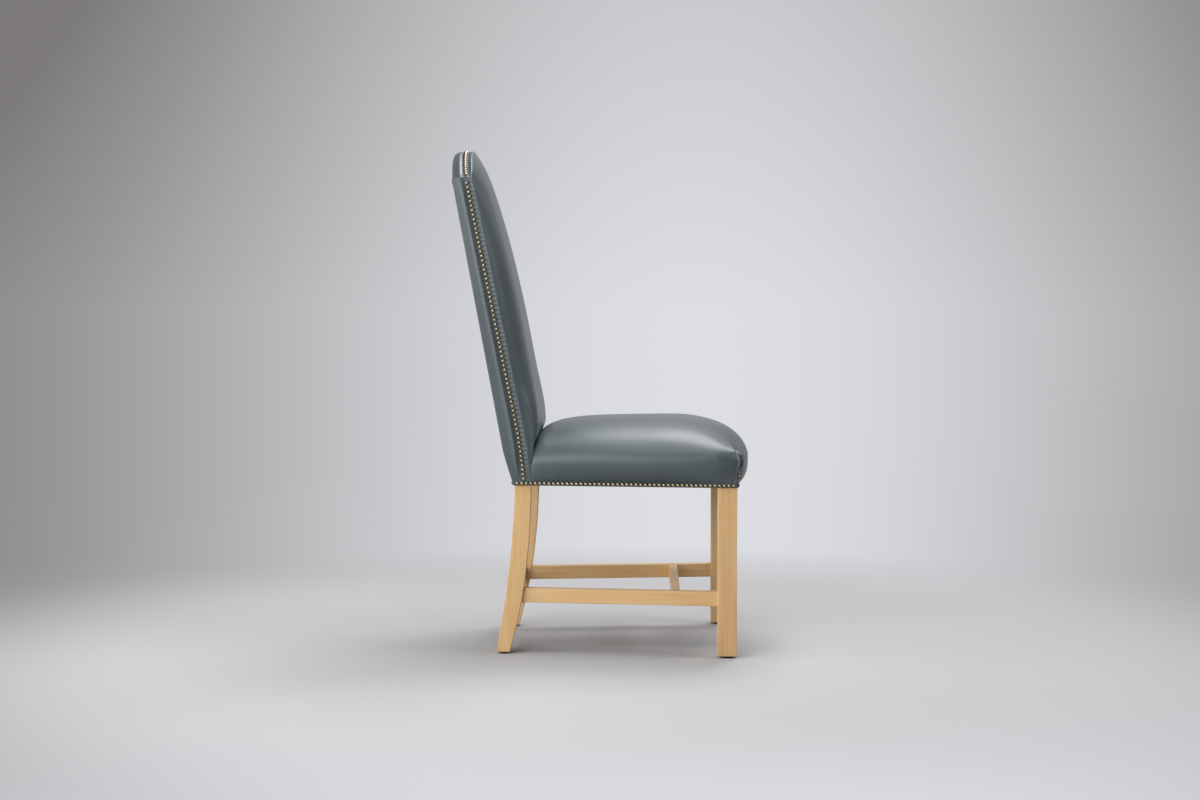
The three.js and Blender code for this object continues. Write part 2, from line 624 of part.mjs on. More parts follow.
const frontBulgeAt = (x) => lerp(frontBulge, cornerBulge, (x / coverHalfFront) ** 2);
const bulgeAt = ({ x, y, nx, ny }) => nx ** 2 * sideBulgeAt(y) + (ny < 0 ? ny ** 2 * frontBulgeAt(x) : 0);
const bulgePowerAt = ({ ny }) => lerp(sideBulgePower, frontBulgePower, ny ** 2);

// Height of the crown: it rounds down towards the front, the rear and both sides.
function crownZ(x, y, inset) {
  const fromSide = faceX(Math.max(y, legSquare)) + coverStandOff + sideBulgeAt(y) - inset - Math.abs(x);
  const fromFront = y - seatFront + frontBulgeAt(x) - inset;
  const fromRear = seatRear - inset - y;
  return bulgeHeight + (seatHeight - bulgeHeight - inset) * rounded(fromSide, sideReach, sidePower)
    * rounded(fromFront, frontReach, frontPower) * rounded(fromRear, rearReach, rearPower);
}

// A point of the seat's surface, shrunk by an inset. The first rings climb the flat band and the bulge,
// and the others go over the rounded edge and across the crown to the line down the middle.
const bulgeAngles = [0, 30, 60, 90].map(THREE.MathUtils.degToRad);
const crownShares = [0.03, 0.11, 0.26, 0.5, 0.85];
const reachShare = 0.9; // of the way to the line down the middle, at the most
const seatRings = bulgeAngles.length + crownShares.length + 1;

function seatPoint(at, ring, inset) {
  const base = { x: at.x - at.nx * inset, y: at.y - at.ny * inset };
  if (ring === 0) return [base.x, base.y, coverBottom];
  const angle = bulgeAngles[Math.min(ring, bulgeAngles.length) - 1];
  const shape = 2 / bulgePowerAt(at);
  const out = bulgeAt(at) * Math.sin(angle) ** shape;
  const edge = { x: base.x + at.nx * out, y: base.y + at.ny * out };
  const fall = (bulgeHeight - bandTop) * Math.max(Math.cos(angle), 0) ** shape;
  if (ring <= bulgeAngles.length) return [edge.x, edge.y, bulgeHeight - fall];
  const target = { x: 0, y: clamp(at.y, spineFront, spineRear) };
  const distance = Math.hypot(target.x - edge.x, target.y - edge.y);
  const crownShare = crownShares[ring - bulgeAngles.length - 1];
  const share = ring === seatRings ? 1 : Math.min(ringReach / distance, reachShare) * crownShare;
  const place = { x: lerp(edge.x, target.x, share), y: lerp(edge.y, target.y, share) };
  return [place.x, place.y, crownZ(place.x, place.y, inset)];
}

function buildSeat() {
  const count = seatStations.length;
  const skinAt = (inset) => (i, ring) => seatPoint(seatStations[i], ring, inset);
  const skin = solidOf(closedSkin(skinAt(0), skinAt(leatherThickness), count, seatRings, true));
  const rearCut = framePlan(coverStandOff - leatherThickness - gap,
    seatRear - rearNotch, postFront, coverBottom - flatBand, insideBottom);
  addPiece('seat_cover', geometryOf(skin.subtract(rearCut)), 'slateLeather');

  // The foam fills the cover above the webbing and comes down in front of the rails on three sides.
  const foamInset = leatherThickness + foamClearance;
  const underside = railTop + webThickness + webThickness + gap + gap + gap;
  const skirtRing = 3;
  const outerAt = (i, ring) => seatPoint(seatStations[i], Math.max(ring, skirtRing), foamInset);
  const innerAt = (i, ring) => {
    const [x, y, z] = outerAt(i, skirtRing);
    const share = Math.max(ring - skirtRing, 0) / (seatRings - skirtRing);
    return [lerp(x, 0, share), lerp(y, clamp(seatStations[i].y, spineFront, spineRear), share), z];
  };
  const block = solidOf(closedSkin(outerAt, innerAt, count, seatRings, true));
  const frameSpace = joined([
    framePlan(gap, legSquare, frameDepth, coverBottom, underside),
    planPlate([[-frontHalf - gap, -gap], [frontHalf + gap, -gap], [frontHalf + gap, legSquare + gap],
      [-frontHalf - gap, legSquare + gap]], coverBottom, underside)]);
  addPiece('seat_foam', geometryOf(block.subtract(frameSpace)), 'paddingFoam');
}

// Outline of the back, up one side, over the arch and down the other
function backOutline() {
  const heights = [coverBottom, coverBottom + tuckHeight / 4, coverBottom + tuckHeight / 2, insideBottom,
    padStart + gap, lerp(padStart, padEnd, 0.5), padEnd, wallBlendEnd];
  const upperSteps = 5;
  for (let k = 1; k < upperSteps; k++) heights.push(lerp(wallBlendEnd, shoulderHeight, k / upperSteps));
  const side = heights.map((z) => ({ x: coverHalfRear, z, nx: 1, nz: 0, edgeRadius: outsideRadius }));
  const archSteps = 12;
  const arch = Array.from({ length: archSteps + 1 }, (_, k) => {
    const angle = lerp(archHalfAngle, -archHalfAngle, k / archSteps);
    return { x: archRadius * Math.sin(angle), z: archCentre + archRadius * Math.cos(angle),
      nx: Math.sin(angle), nz: Math.cos(angle), edgeRadius: archEdgeRadius };
  });
  // At a shoulder the two faces meet, and the inset goes down the line between them.
  for (const at of [arch[0], arch[archSteps]]) {
    const facing = Math.sign(at.x);
    const spread = 1 + facing * at.nx;
    at.nx = (at.nx + facing) / spread;
    at.nz = at.nz / spread;
    at.edgeRadius = shoulderRadius;
  }
  return [...side, ...arch, ...side.map((at) => ({ ...at, x: -at.x, nx: -at.nx })).reverse()];
}

const backStations = backOutline();
const backSpineTop = shoulderHeight - backSideReach;
const frontInsetShares = [0.03, 0.1, 0.27, 0.58, 1];
const frontInsets = frontInsetShares.map((share) => share * backSideReach);
const insideRings = frontInsets.length + 2;
const outsideAngles = [0, 45, 90].map(THREE.MathUtils.degToRad);
const outsideRings = outsideAngles.length + 1;

// A point of the inside back: the first ring is the nail line, the next the front edge of the side wall.
function insidePoint(at, ring, inset) {
  const edge = { x: at.x - at.nx * inset, z: at.z - at.nz * inset };
  if (ring === 0) return [edge.x, nailY(at.z) - seamGap / 2, edge.z];
  if (ring === 1) return [edge.x, rearY(at.z) - sideWallDepth(at.z), edge.z];
  const target = { x: 0, z: Math.min(edge.z, backSpineTop) };
  const distance = Math.hypot(edge.x - target.x, edge.z - target.z);
  const share = ring === insideRings ? 1 : Math.min(frontInsets[ring - 2] / distance, 1);
  const place = { x: lerp(edge.x, target.x, share), z: lerp(edge.z, target.z, share) };
  return [place.x, rearY(place.z) - frontDepth(place.x, place.z) + inset, place.z];
}

// A point of the outside back: the nail line, a rounded edge, then the flat rear.
function outsidePoint(at, ring, inset) {
  const edge = { x: at.x - at.nx * inset, z: at.z - at.nz * inset };
  if (ring === 0) return [edge.x, nailY(at.z) + seamGap / 2, edge.z];
  const target = { x: 0, z: Math.min(edge.z, backSpineTop) };
  if (ring === outsideRings) return [0, rearY(target.z) - inset, target.z];
  const angle = outsideAngles[ring - 1];
  const radius = at.edgeRadius - inset;
  const inwards = radius * (1 - Math.cos(angle));
  const forward = inset + radius * (1 - Math.sin(angle));
  const z = edge.z - (at.nz > 0 ? at.nz * inwards : 0);
  return [edge.x - at.nx * inwards, rearY(z) - forward, z];
}

function buildBack() {
  const count = backStations.length - 1;
  const insideAt = (inset) => (i, ring) => insidePoint(backStations[i], ring, inset);
  const outsideAt = (inset) => (i, ring) => outsidePoint(backStations[i], ring, inset);
  const inside = solidOf(closedSkin(insideAt(0), insideAt(leatherThickness), count, insideRings, false));
  const innerHalf = coverHalfRear - leatherThickness;
  const railSpace = leaningBlock(-innerHalf, innerHalf, () => seatRear, () => frameDepth,
    coverBottom - flatBand, insideBottom);
  addPiece('inside_back_cover', geometryOf(inside.subtract(railSpace)), 'slateLeather');
  addPiece('outside_back_cover',
    closedSkin(outsideAt(0), outsideAt(leatherThickness), count, outsideRings, false), 'slateLeather');

  // The foam lies between the webbing on the posts and the inside back.
  const foamInset = leatherThickness + foamClearance;
  const webDepth = (z) => (z < crestBottom ? webThickness + gap : 0);
  const webFront = (z) => postFrontAt(z) - gap - webDepth(z);
  const foamStations = backStations.filter((at) => at.z >= insideBottom);
  const frontAt = (i, ring) => insidePoint({ ...foamStations[i] }, ring + 2, foamInset);
  const rearAt = (i, ring) => {
    const [x, , z] = frontAt(i, ring);
    return [x, webFront(Math.max(z, bendTop)) - Math.max(0, bendTop - z) * rakeSlope, z];
  };
  addPiece('back_foam',
    closedSkin(frontAt, rearAt, foamStations.length - 1, insideRings - 2, false), 'paddingFoam');
}

// A row of nail heads. Each station is the place of a head on the leather and the way the leather faces.
// A thin neck joins each head to the next, so a row is one strip.
function nailRow(name, stations) {
  const sections = [];
  const heading = (k) => {
    const before = stations[Math.max(k - 1, 0)].place;
    const after = stations[Math.min(k + 1, stations.length - 1)].place;
    return after.clone().sub(before).normalize();
  };
  const section = (place, facing, along, halfWidth, height) => {
    const across = facing.clone().cross(along).normalize();
    const at = (sideways, up) =>
      place.clone().addScaledVector(across, sideways).addScaledVector(facing, gap + up);
    const crest = halfWidth / 2;
    return [at(-halfWidth, 0), at(-crest, height), at(crest, height), at(halfWidth, 0)];
  };
  stations.forEach(({ place, facing }, k) => {
    const along = heading(k);
    if (k === 0) {
      const start = place.clone().addScaledVector(along, -nailRadius);
      sections.push(section(start, facing, along, neckHalfWidth, neckHeight));
    }
    sections.push(section(place, facing, along, nailRadius, nailHeight));
    const next = stations[k + 1];
    const half = place.clone();
    if (next) half.lerp(next.place, 0.5);
    else half.addScaledVector(along, nailRadius);
    const turn = next ? facing.clone().add(next.facing).normalize() : facing;
    sections.push(section(half, turn, along, neckHalfWidth, neckHeight));
  });
  const corners = sections[0].length;
  const triangles = [];
  for (let s = 0; s + 1 < sections.length; s++) {
    for (let c = 0; c < corners; c++) {
      const [a, b] = [s * corners + c, s * corners + (c + 1) % corners];
      triangles.push(a, b, b + corners, a, b + corners, a + corners);
    }
  }
  const last = (sections.length - 1) * corners;
  for (let c = 1; c + 1 < corners; c++) triangles.push(0, c + 1, c, last, last + c, last + c + 1);
  const vertices = sections.flat().flatMap((point) => point.toArray());
  addPiece(name, facingOut(vertices, triangles), 'antiqueBrass');
}

// Stations spaced evenly along a path of [x, y, z] corners, each stretch with its own facing.
function alongPath(corners, facings) {
  const lengths = facings.map((_, k) => corners[k].distanceTo(corners[k + 1]));
  const total = lengths.reduce((sum, length) => sum + length);
  const count = Math.floor((total - nailRadius - nailRadius) / nailPitch);
  return Array.from({ length: count + 1 }, (_, n) => {
    let left = (total - count * nailPitch) / 2 + n * nailPitch;
    let k = 0;
    while (k < lengths.length - 1 && left > lengths[k]) left -= lengths[k++];
    return { place: corners[k].clone().lerp(corners[k + 1], left / lengths[k]), facing: facings[k] };
  });
}

function buildNails() {
  const at = (x, y, z) => new THREE.Vector3(x, y, z);
  const rearTilt = (rearY(nailLine + tiltStep) - rearY(nailLine)) / tiltStep;
  const rearEdge = rearY(nailLine) - outsideRadius;
  const frontEnd = seatFront + seatCornerRadius;
  for (const [label, side] of sides) {
    const splay = at(side * (postFront - legSquare), frontHalf - rearHalf, 0).normalize();
    const bendX = faceX(seatRear) + coverStandOff; // where the side turns to the straight side of the back
    nailRow('seat_nails_' + label, alongPath([
      at(side * coverHalfRear, rearEdge, nailLine), at(side * bendX, seatRear, nailLine),
      at(side * coverHalfFront, legSquare, nailLine), at(side * coverHalfFront, frontEnd, nailLine),
    ], [at(side, 0, 0), splay, at(side, 0, 0)]));

    const lowest = nailLine + nailPitch;
    const count = Math.floor((shoulderHeight - nailRadius - lowest) / (nailPitch * Math.cos(backRake)));
    nailRow('back_nails_' + label, Array.from({ length: count + 1 }, (_, n) => {
      const z = lowest + n * nailPitch * Math.cos(backRake);
      return { place: at(side * coverHalfRear, nailY(z), z), facing: at(side, 0, 0) };
    }));

    const corner = seatStations.reduce((best, one) => (one.x - one.y > best.x - best.y ? one : best));
    const surface = (z) => {
      const out = bulgeAt(corner) * rounded(z - bandTop, bulgeHeight - bandTop, bulgePowerAt(corner));
      return at(side * (corner.x + corner.nx * out), corner.y + corner.ny * out, z);
    };
    nailRow('corner_nails_' + label, [1, 2, 3].map((n) => {
      const z = nailLine + nailRadius + n * cornerNailPitch;
      const up = surface(z + tiltStep).sub(surface(z - tiltStep)).normalize();
      const across = at(corner.ny, -side * corner.nx, 0);
      const facing = up.cross(across).normalize();
      if (facing.y > 0) facing.negate();
      return { place: surface(z).addScaledVector(facing, gap), facing };
    }));
  }
  const frontSpan = coverHalfFront - seatCornerRadius;
  nailRow('seat_nails_front', alongPath(
    [at(-frontSpan, seatFront, nailLine), at(frontSpan, seatFront, nailLine)], [at(0, -1, 0)]));
  const rearSpan = coverHalfRear - outsideRadius;
  nailRow('back_nails_base', alongPath(
    [at(-rearSpan, rearY(nailLine), nailLine), at(rearSpan, rearY(nailLine), nailLine)],
    [at(0, 1, -rearTilt).normalize()]));
  const archCount = Math.floor((archHalfAngle + archHalfAngle) * archRadius / nailPitch) - 1;
  nailRow('back_nails_arch', Array.from({ length: archCount }, (_, n) => {
    const angle = (n - (archCount - 1) / 2) * nailPitch / archRadius;
    const z = archCentre + archRadius * Math.cos(angle);
    const facing = at(Math.sin(angle), 0, Math.cos(angle));
    return { place: at(archRadius * Math.sin(angle), nailY(z), z), facing };
  }));
}

buildFrame();
buildWebbing();
buildSeat();
buildBack();
buildNails();

// The part's origin is on the floor, under the middle of the chair's length and width.
const bounds = new THREE.Box3().setFromObject(chair);
const middle = bounds.getCenter(new THREE.Vector3());
chair.position.set(-middle.x, -middle.y, -bounds.min.z);

export default chair;
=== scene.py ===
# %% [markdown]
# # Dressing a parsons chair
# This lesson dresses a dining chair: slate leather over a padded seat and a tall back, rows of antique
# brass nails, and legs of lacquered beech. The solid model of the chair is loaded as a fixed frame, and
# every visible surface is then worked out as a shape with numpy and put in its place over it.

# %% Load the frame
import math

import bmesh
import bpy
import numpy as np
from mathutils import Matrix, Vector


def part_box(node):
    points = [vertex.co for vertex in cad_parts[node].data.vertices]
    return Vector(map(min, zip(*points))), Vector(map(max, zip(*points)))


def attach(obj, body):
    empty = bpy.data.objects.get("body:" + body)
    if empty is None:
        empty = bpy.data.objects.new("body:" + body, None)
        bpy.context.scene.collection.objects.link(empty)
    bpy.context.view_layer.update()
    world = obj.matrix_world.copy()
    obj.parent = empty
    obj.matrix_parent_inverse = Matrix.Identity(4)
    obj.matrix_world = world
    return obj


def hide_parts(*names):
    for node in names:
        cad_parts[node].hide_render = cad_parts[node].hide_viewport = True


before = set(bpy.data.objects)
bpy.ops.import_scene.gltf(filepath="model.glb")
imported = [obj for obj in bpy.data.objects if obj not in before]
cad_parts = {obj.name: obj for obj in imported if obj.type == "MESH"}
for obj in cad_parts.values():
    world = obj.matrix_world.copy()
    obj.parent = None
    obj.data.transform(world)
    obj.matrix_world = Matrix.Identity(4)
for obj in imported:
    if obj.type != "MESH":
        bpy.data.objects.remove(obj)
scene = bpy.context.scene
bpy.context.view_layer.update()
front_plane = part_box("right_front_leg")[0].y  # front face of the front legs, in metres

# %% [markdown]
# A chair maker thinks in millimetres from the front legs backwards and from the floor up, so the shapes
# below do too. One function turns such points into the frame's metres when a mesh is made. The others
# are the few curves that all the shapes are mixed from.

# %% From the maker's millimetres to the frame
def to_frame(points):
    """Millimetres from the front face of the front legs become metres in the frame."""
    return np.asarray(points, float) / 1000 + (0, front_plane, 0)


def stacked(*parts):
    """Arrays side by side as columns. A single number is repeated down its column."""
    return np.stack(np.broadcast_arrays(*parts), axis=-1)


def lerp(a, b, share):
    return a + (b - a) * share


def smoothstep(value, low, high):
    """0 below low, 1 above high, and a smooth S between them: 3t squared minus 2t cubed."""
    t = np.clip((value - low) / (high - low), 0, 1)
    return t * t * (3 - 2 * t)


def rounded(inset, reach, power):
    """A quarter of a superellipse: 0 at the edge, 1 at the reach, with level ground there."""
    left = 1 - np.clip(inset / reach, 0, 1)
    return (1 - left ** power) ** (1 / power)


print("front face of the legs at y =", round(front_plane, 4))

# %% [markdown]
# The lines that every piece shares come first, as they would on a full-size drawing: the splay of the
# sides in plan, the rake of the back, the arch, and the line that the nails follow. They are the same
# as those of the solid model.

# %% Sizes and shared lines
SIDES = (("right", -1), ("left", 1))
HALF_FRONT, HALF_REAR = 240, 194  # half the frame's width over the legs and over the posts
LEG = 39.5
POST_FRONT, POST_REAR = 427.5, 461.5
POST_HALF, POST_INSET = 17, 9  # half a post's width, and how far in from the back's rear line it stands
DEPTH_BEND, DEPTH_TOP, TAPER_TOP = 38, 31, 905  # a post's depth at the bend and at the top of its taper
FOOT, BEND, POST_TOP = 4.3, 470, 904.7
COVER_BOTTOM, SEAT_TOP = 354.3, 488.5
SHOULDER, ARCH_TOP = 993, 1055.5
STAND_OFF = 2.2  # how far the covers stand off the frame
FRONT_HALF, BACK_HALF = HALF_FRONT + STAND_OFF, HALF_REAR + STAND_OFF
SEAT_FRONT, SEAT_REAR = -STAND_OFF, 422.5
NAIL_LINE, NAIL_PITCH = 359.1, 9.6
NAIL_BED = 4.6  # half the flat strip that the nail heads press into the leather
NAIL_END = 4.3  # a row's first nail stands at least this far from its end
RAKE_ANGLE = math.radians(10.54)
RAKE = math.tan(RAKE_ANGLE)
ARCH_RADIUS = (BACK_HALF ** 2 + (ARCH_TOP - SHOULDER) ** 2) / (2 * (ARCH_TOP - SHOULDER))
ARCH_CENTRE = ARCH_TOP - ARCH_RADIUS
ARCH_ANGLE = math.asin(BACK_HALF / ARCH_RADIUS)


def face_x(y):
    """Half the width of the frame at y: the sides splay in a straight line from legs to posts."""
    return lerp(HALF_FRONT, HALF_REAR, (np.maximum(y, LEG) - LEG) / (POST_FRONT - LEG))


def rear_y(z):
    """Rear line of the back: a straight rake that draws in to the posts over the lowest 75 mm."""
    tuck = 8.4 * np.clip(1 - (z - COVER_BOTTOM) / 75, 0, 1) ** 1.3
    return POST_REAR + 10.6 + (z - COVER_BOTTOM) * RAKE - tuck


def nail_y(z):
    """Line of the nails up the back: a fixed distance from its rear, closing in towards the top,
    and below the bend a curve down to a point over the post."""
    share = np.clip((z - BEND) / (SHOULDER - BEND), 0, 1)
    above = rear_y(np.maximum(z, BEND)) - lerp(38, 30, share)
    bend = np.clip((z - COVER_BOTTOM) / (BEND - COVER_BOTTOM), 0, 1) ** 1.3
    return np.where(z >= BEND, above, lerp(POST_FRONT + 13.5, above, bend))


def post_depth(z):
    """Depth of a post above the bend: a straight taper."""
    return lerp(DEPTH_BEND, DEPTH_TOP, np.minimum((z - BEND) / (TAPER_TOP - BEND), 1))


def hump(distance, crest, fade):
    """Swell beside a row of nails: 0 at the heads, a smooth S to the power 1.5 up to 1 at the crest, and
    beyond it a fall like exp(-distance / fade). The square root rounds the top over 1.5 mm."""
    beyond = np.sqrt(np.maximum(distance - crest, 0) ** 2 + 1.5 ** 2) - 1.5
    return smoothstep(distance, NAIL_BED, crest) ** 1.5 * np.exp(-beyond / fade)


print("arch radius", round(ARCH_RADIUS, 1), "mm, rear at the shoulder", round(float(rear_y(SHOULDER)), 1))

# %% [markdown]
# Every surface here is a grid: rows of points that run one way and columns that run the other. One
# function joins neighbouring points into four-sided faces. A closed grid also joins its last column to
# its first. Points that fall together, such as those along the middle of the seat, are merged, so no
# seam or pole stays open. Numbers that a material needs, such as the way along a plank, are stored on
# the points, where the material reads them by name.

# %% A grid of points becomes a mesh
def mesh_from(name, points, faces):
    """A mesh object from points in the maker's millimetres."""
    mesh = bpy.data.meshes.new(name)
    mesh.from_pydata(to_frame(points).tolist(), [], faces)
    piece = bpy.data.objects.new(name, mesh)
    scene.collection.objects.link(piece)
    return piece


def grid_faces(rows, columns, closed=False):
    """Faces of a grid whose point (r, c) has the number r times columns plus c."""
    index = np.arange(rows * columns).reshape(rows, columns)
    if closed:
        index = np.concatenate([index, index[:, :1]], axis=1)
    corners = (index[:-1, :-1], index[:-1, 1:], index[1:, 1:], index[1:, :-1])
    return np.stack([c.ravel() for c in corners], axis=1).tolist()


def tidy(piece):
    """Merges doubles, turns the faces outwards and shades them smooth."""
    work = bmesh.new()
    work.from_mesh(piece.data)
    bmesh.ops.remove_doubles(work, verts=work.verts, dist=1e-5)
    bmesh.ops.dissolve_degenerate(work, edges=work.edges, dist=1e-6)
    bmesh.ops.recalc_face_normals(work, faces=work.faces)
    for face in work.faces:
        face.smooth = True
    work.to_mesh(piece.data)
    work.free()
    return piece


def store(piece, name, values):
    """Stores a number or a vector for each point, under a name that a material can read."""
    kind, field = ("FLOAT_VECTOR", "vector") if values.ndim == 2 else ("FLOAT", "value")
    stored = piece.data.attributes.new(name, kind, "POINT")
    stored.data.foreach_set(field, values.astype(np.float32).ravel())


def surface(name, grid, closed=False, **stored):
    """A grid as a mesh. Values stored for its points go in before doubles are merged."""
    piece = mesh_from(name, grid.reshape(-1, 3), grid_faces(*grid.shape[:2], closed))
    for key, values in stored.items():
        store(piece, key, values.ravel())
    return tidy(piece)


def coordinates(piece):
    """The points of a piece as an array, in metres."""
    points = np.empty(len(piece.data.vertices) * 3, np.float32)
    piece.data.vertices.foreach_get("co", points)
    return points.reshape(-1, 3).astype(float)


def maker_points(piece):
    """The points of a piece in the maker's millimetres."""
    return coordinates(piece) * 1000 - np.array([0, front_plane * 1000, 0])


def settle(piece, slot, *nodes):
    """Ties a piece to the frame: hides the nodes it stands for and hangs it from the root body.
    The slot of its finish is not used.
    """
    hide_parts(*nodes)
    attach(piece, "root")


print("grids ready")

# %% [markdown]
# Colours are given as sRGB hex values, and Blender's shaders work with linear light, so one
# function turns the first into the second. Another adds a node with its settings and its links, which
# keeps each material short enough to read.

# %% Colours and nodes
def linear(hex_text):
    """sRGB hex to linear light: the low end is divided by 12.92, the rest follows a power of 2.4."""
    channels = [int(hex_text[i:i + 2], 16) / 255 for i in (1, 3, 5)]
    return [c / 12.92 if c <= 0.04045 else ((c + 0.055) / 1.055) ** 2.4 for c in channels] + [1.0]


def set_inputs(tree, node, inputs):
    """Gives each input of a node a value, a colour from hex text, or a link from another node's socket."""
    for key, value in inputs.items():
        if isinstance(value, bpy.types.NodeSocket):
            tree.links.new(value, node.inputs[key])
        else:
            node.inputs[key].default_value = linear(value) if isinstance(value, str) else value


def add_node(tree, kind, inputs=None, out=0, **settings):
    """Adds a node with its settings and inputs. Returns one output, or all of them where out is None."""
    made = tree.nodes.new("ShaderNode" + kind)
    for key, value in settings.items():
        setattr(made, key, value)
    set_inputs(tree, made, inputs or {})
    return made.outputs if out is None else made.outputs[out]


def new_material(name, **values):
    """A material with one Principled shader, whose sockets get the given values."""
    material = bpy.data.materials.new(name)
    material.use_nodes = True
    tree = material.node_tree
    shader = tree.nodes["Principled BSDF"]
    set_inputs(tree, shader, {key.replace("_", " "): value for key, value in values.items()})
    return material, tree, shader


print("white in linear light:", linear("#ffffff"))

# %% [markdown]
# ## Slate leather
# The covers are pigmented upholstery leather: a smooth, corrected hide with a fine pressed grain and a
# semi-gloss finish. Light slides over it in broad soft bands, so what matters most is an even roughness
# just under 0.4. The pressed grain is a cell pattern of about 0.9 mm, shallow enough to be felt more
# than seen, and the colour drifts by a few per cent over a hand's width, as a dyed hide does. The nails
# pull the leather into faint scallops: a cosine along the row, one wave to a nail, that fades within
# 19 mm of it.

# %% Slate leather
GRAIN_CELL, GRAIN_HEIGHT = 0.0009, 0.00004  # metres across a cell of the pressed grain, and up it
SCALLOP_DEPTH = 0.0003
leather, tree, shader = new_material("pigmented slate leather", Roughness=0.4, IOR=1.5)
place = add_node(tree, "TexCoord", out="Object")
drift = add_node(tree, "TexNoise", {"Vector": place, "Scale": 9.0, "Detail": 3.0})
# Painted shade: where a front pleat's slit stands open, the colour is mixed towards near black and the
# leather turns fully rough.
fold = add_node(tree, "Attribute", out="Fac", attribute_name="fold")
hide = add_node(tree, "Mix", {0: drift, 6: "#4b565a", 7: "#596468"}, 2, data_type="RGBA")
hide = add_node(tree, "Mix", {0: fold, 6: hide, 7: "#0c0c0d"}, 2, data_type="RGBA")
cells = add_node(tree, "TexVoronoi", {"Vector": place, "Scale": 1 / GRAIN_CELL})
pores = add_node(tree, "TexNoise", {"Vector": place, "Scale": 420.0, "Detail": 4.0})
grain = add_node(tree, "Math", {0: cells, 1: 0.5}, operation="MULTIPLY")
grain = add_node(tree, "Math", {0: grain, 1: pores}, operation="ADD")
grain = add_node(tree, "Math", {0: grain, 1: GRAIN_HEIGHT}, operation="MULTIPLY")
seam = add_node(tree, "Attribute", out="Vector", attribute_name="seam")
seam = add_node(tree, "SeparateXYZ", {0: seam}, None)
turns = add_node(tree, "Math", {0: seam["X"], 1: 2000 * math.pi / NAIL_PITCH}, operation="MULTIPLY")
pull = add_node(tree, "Math", {0: turns}, operation="COSINE")
fade = add_node(tree, "MapRange", {"Value": seam["Y"], "From Min": 0.004, "From Max": 0.019,
                                   "To Min": -SCALLOP_DEPTH, "To Max": 0.0}, interpolation_type="SMOOTHSTEP")
pull = add_node(tree, "Math", {0: pull, 1: fade}, operation="MULTIPLY")
height = add_node(tree, "Math", {0: grain, 1: pull}, operation="ADD")
raised = add_node(tree, "Bump", {"Height": height, "Strength": 1.0, "Distance": 1.0})
gloss = add_node(tree, "MapRange", {"Value": drift, "To Min": 0.33, "To Max": 0.41})
gloss = add_node(tree, "Math", {0: gloss, 1: fold}, operation="MAXIMUM")
set_inputs(tree, shader, {"Base Color": hide, "Roughness": gloss, "Normal": raised})
print("leather:", len(tree.nodes), "nodes")

# %% [markdown]
# ## Lacquered beech
# Beech is pale, with a fine, nearly straight figure and short darker flecks where the rays of the wood
# reach the surface. A satin lacquer turns it golden and gives it a soft shine. The pattern is read from a
# vector stored on each piece, which runs along the plank that the piece was sawn from, so the figure is
# straight in the stretchers and the legs alike. Growth lines are 3 to 6 mm apart and the flecks about
# 0.5 by 3 mm, drawn twice as coarse here, so that they still show from across a room.

# %% Lacquered beech
def beech_material(name, light, dark, roughness, coat):
    """Three noises, each drawn out along the plank: the growth lines, the flecks and a broad figure.
    Their sum is the share of the dark colour."""
    material, tree, shader = new_material(name, Roughness=roughness, IOR=1.5, Coat_Weight=coat,
                                          Coat_Roughness=0.25)
    plank = add_node(tree, "Attribute", out="Vector", attribute_name="plank")
    noises = []
    for squeeze, noise in ((0.045, {"Scale": 190.0, "Detail": 5.0, "Roughness": 0.6, "Distortion": 0.25}),
                           (0.16, {"Scale": 900.0, "Detail": 2.0}),
                           (0.12, {"Scale": 34.0, "Detail": 2.0, "Distortion": 0.6})):
        drawn_out = add_node(tree, "Mapping", {"Vector": plank, "Scale": (1.0, 1.0, squeeze)})
        noises.append(add_node(tree, "TexNoise", {"Vector": drawn_out, **noise}))
    lines, flecks, broad = noises
    fleck = add_node(tree, "MapRange", {"Value": flecks, "From Min": 0.58, "From Max": 0.72, "To Max": 0.35})
    figure = add_node(tree, "Math", {0: lines, 1: broad}, operation="ADD")
    figure = add_node(tree, "MapRange", {"Value": figure, "From Min": 0.6, "From Max": 1.45})
    figure = add_node(tree, "Math", {0: figure, 1: fleck}, operation="ADD", use_clamp=True)
    wood = add_node(tree, "Mix", {0: figure, 6: light, 7: dark}, 2, data_type="RGBA")
    raised = add_node(tree, "Bump", {"Height": lines, "Strength": 0.4, "Distance": 0.00006})
    set_inputs(tree, shader, {"Base Color": wood, "Normal": raised})
    return material


beech = beech_material("satin lacquered beech", "#f8d39d", "#e4b273", 0.45, 0.12)
sawn_beech = beech_material("sawn beech", "#cfa872", "#a87c4c", 0.75, 0.0)
print("beech:", len(beech.node_tree.nodes), "nodes")
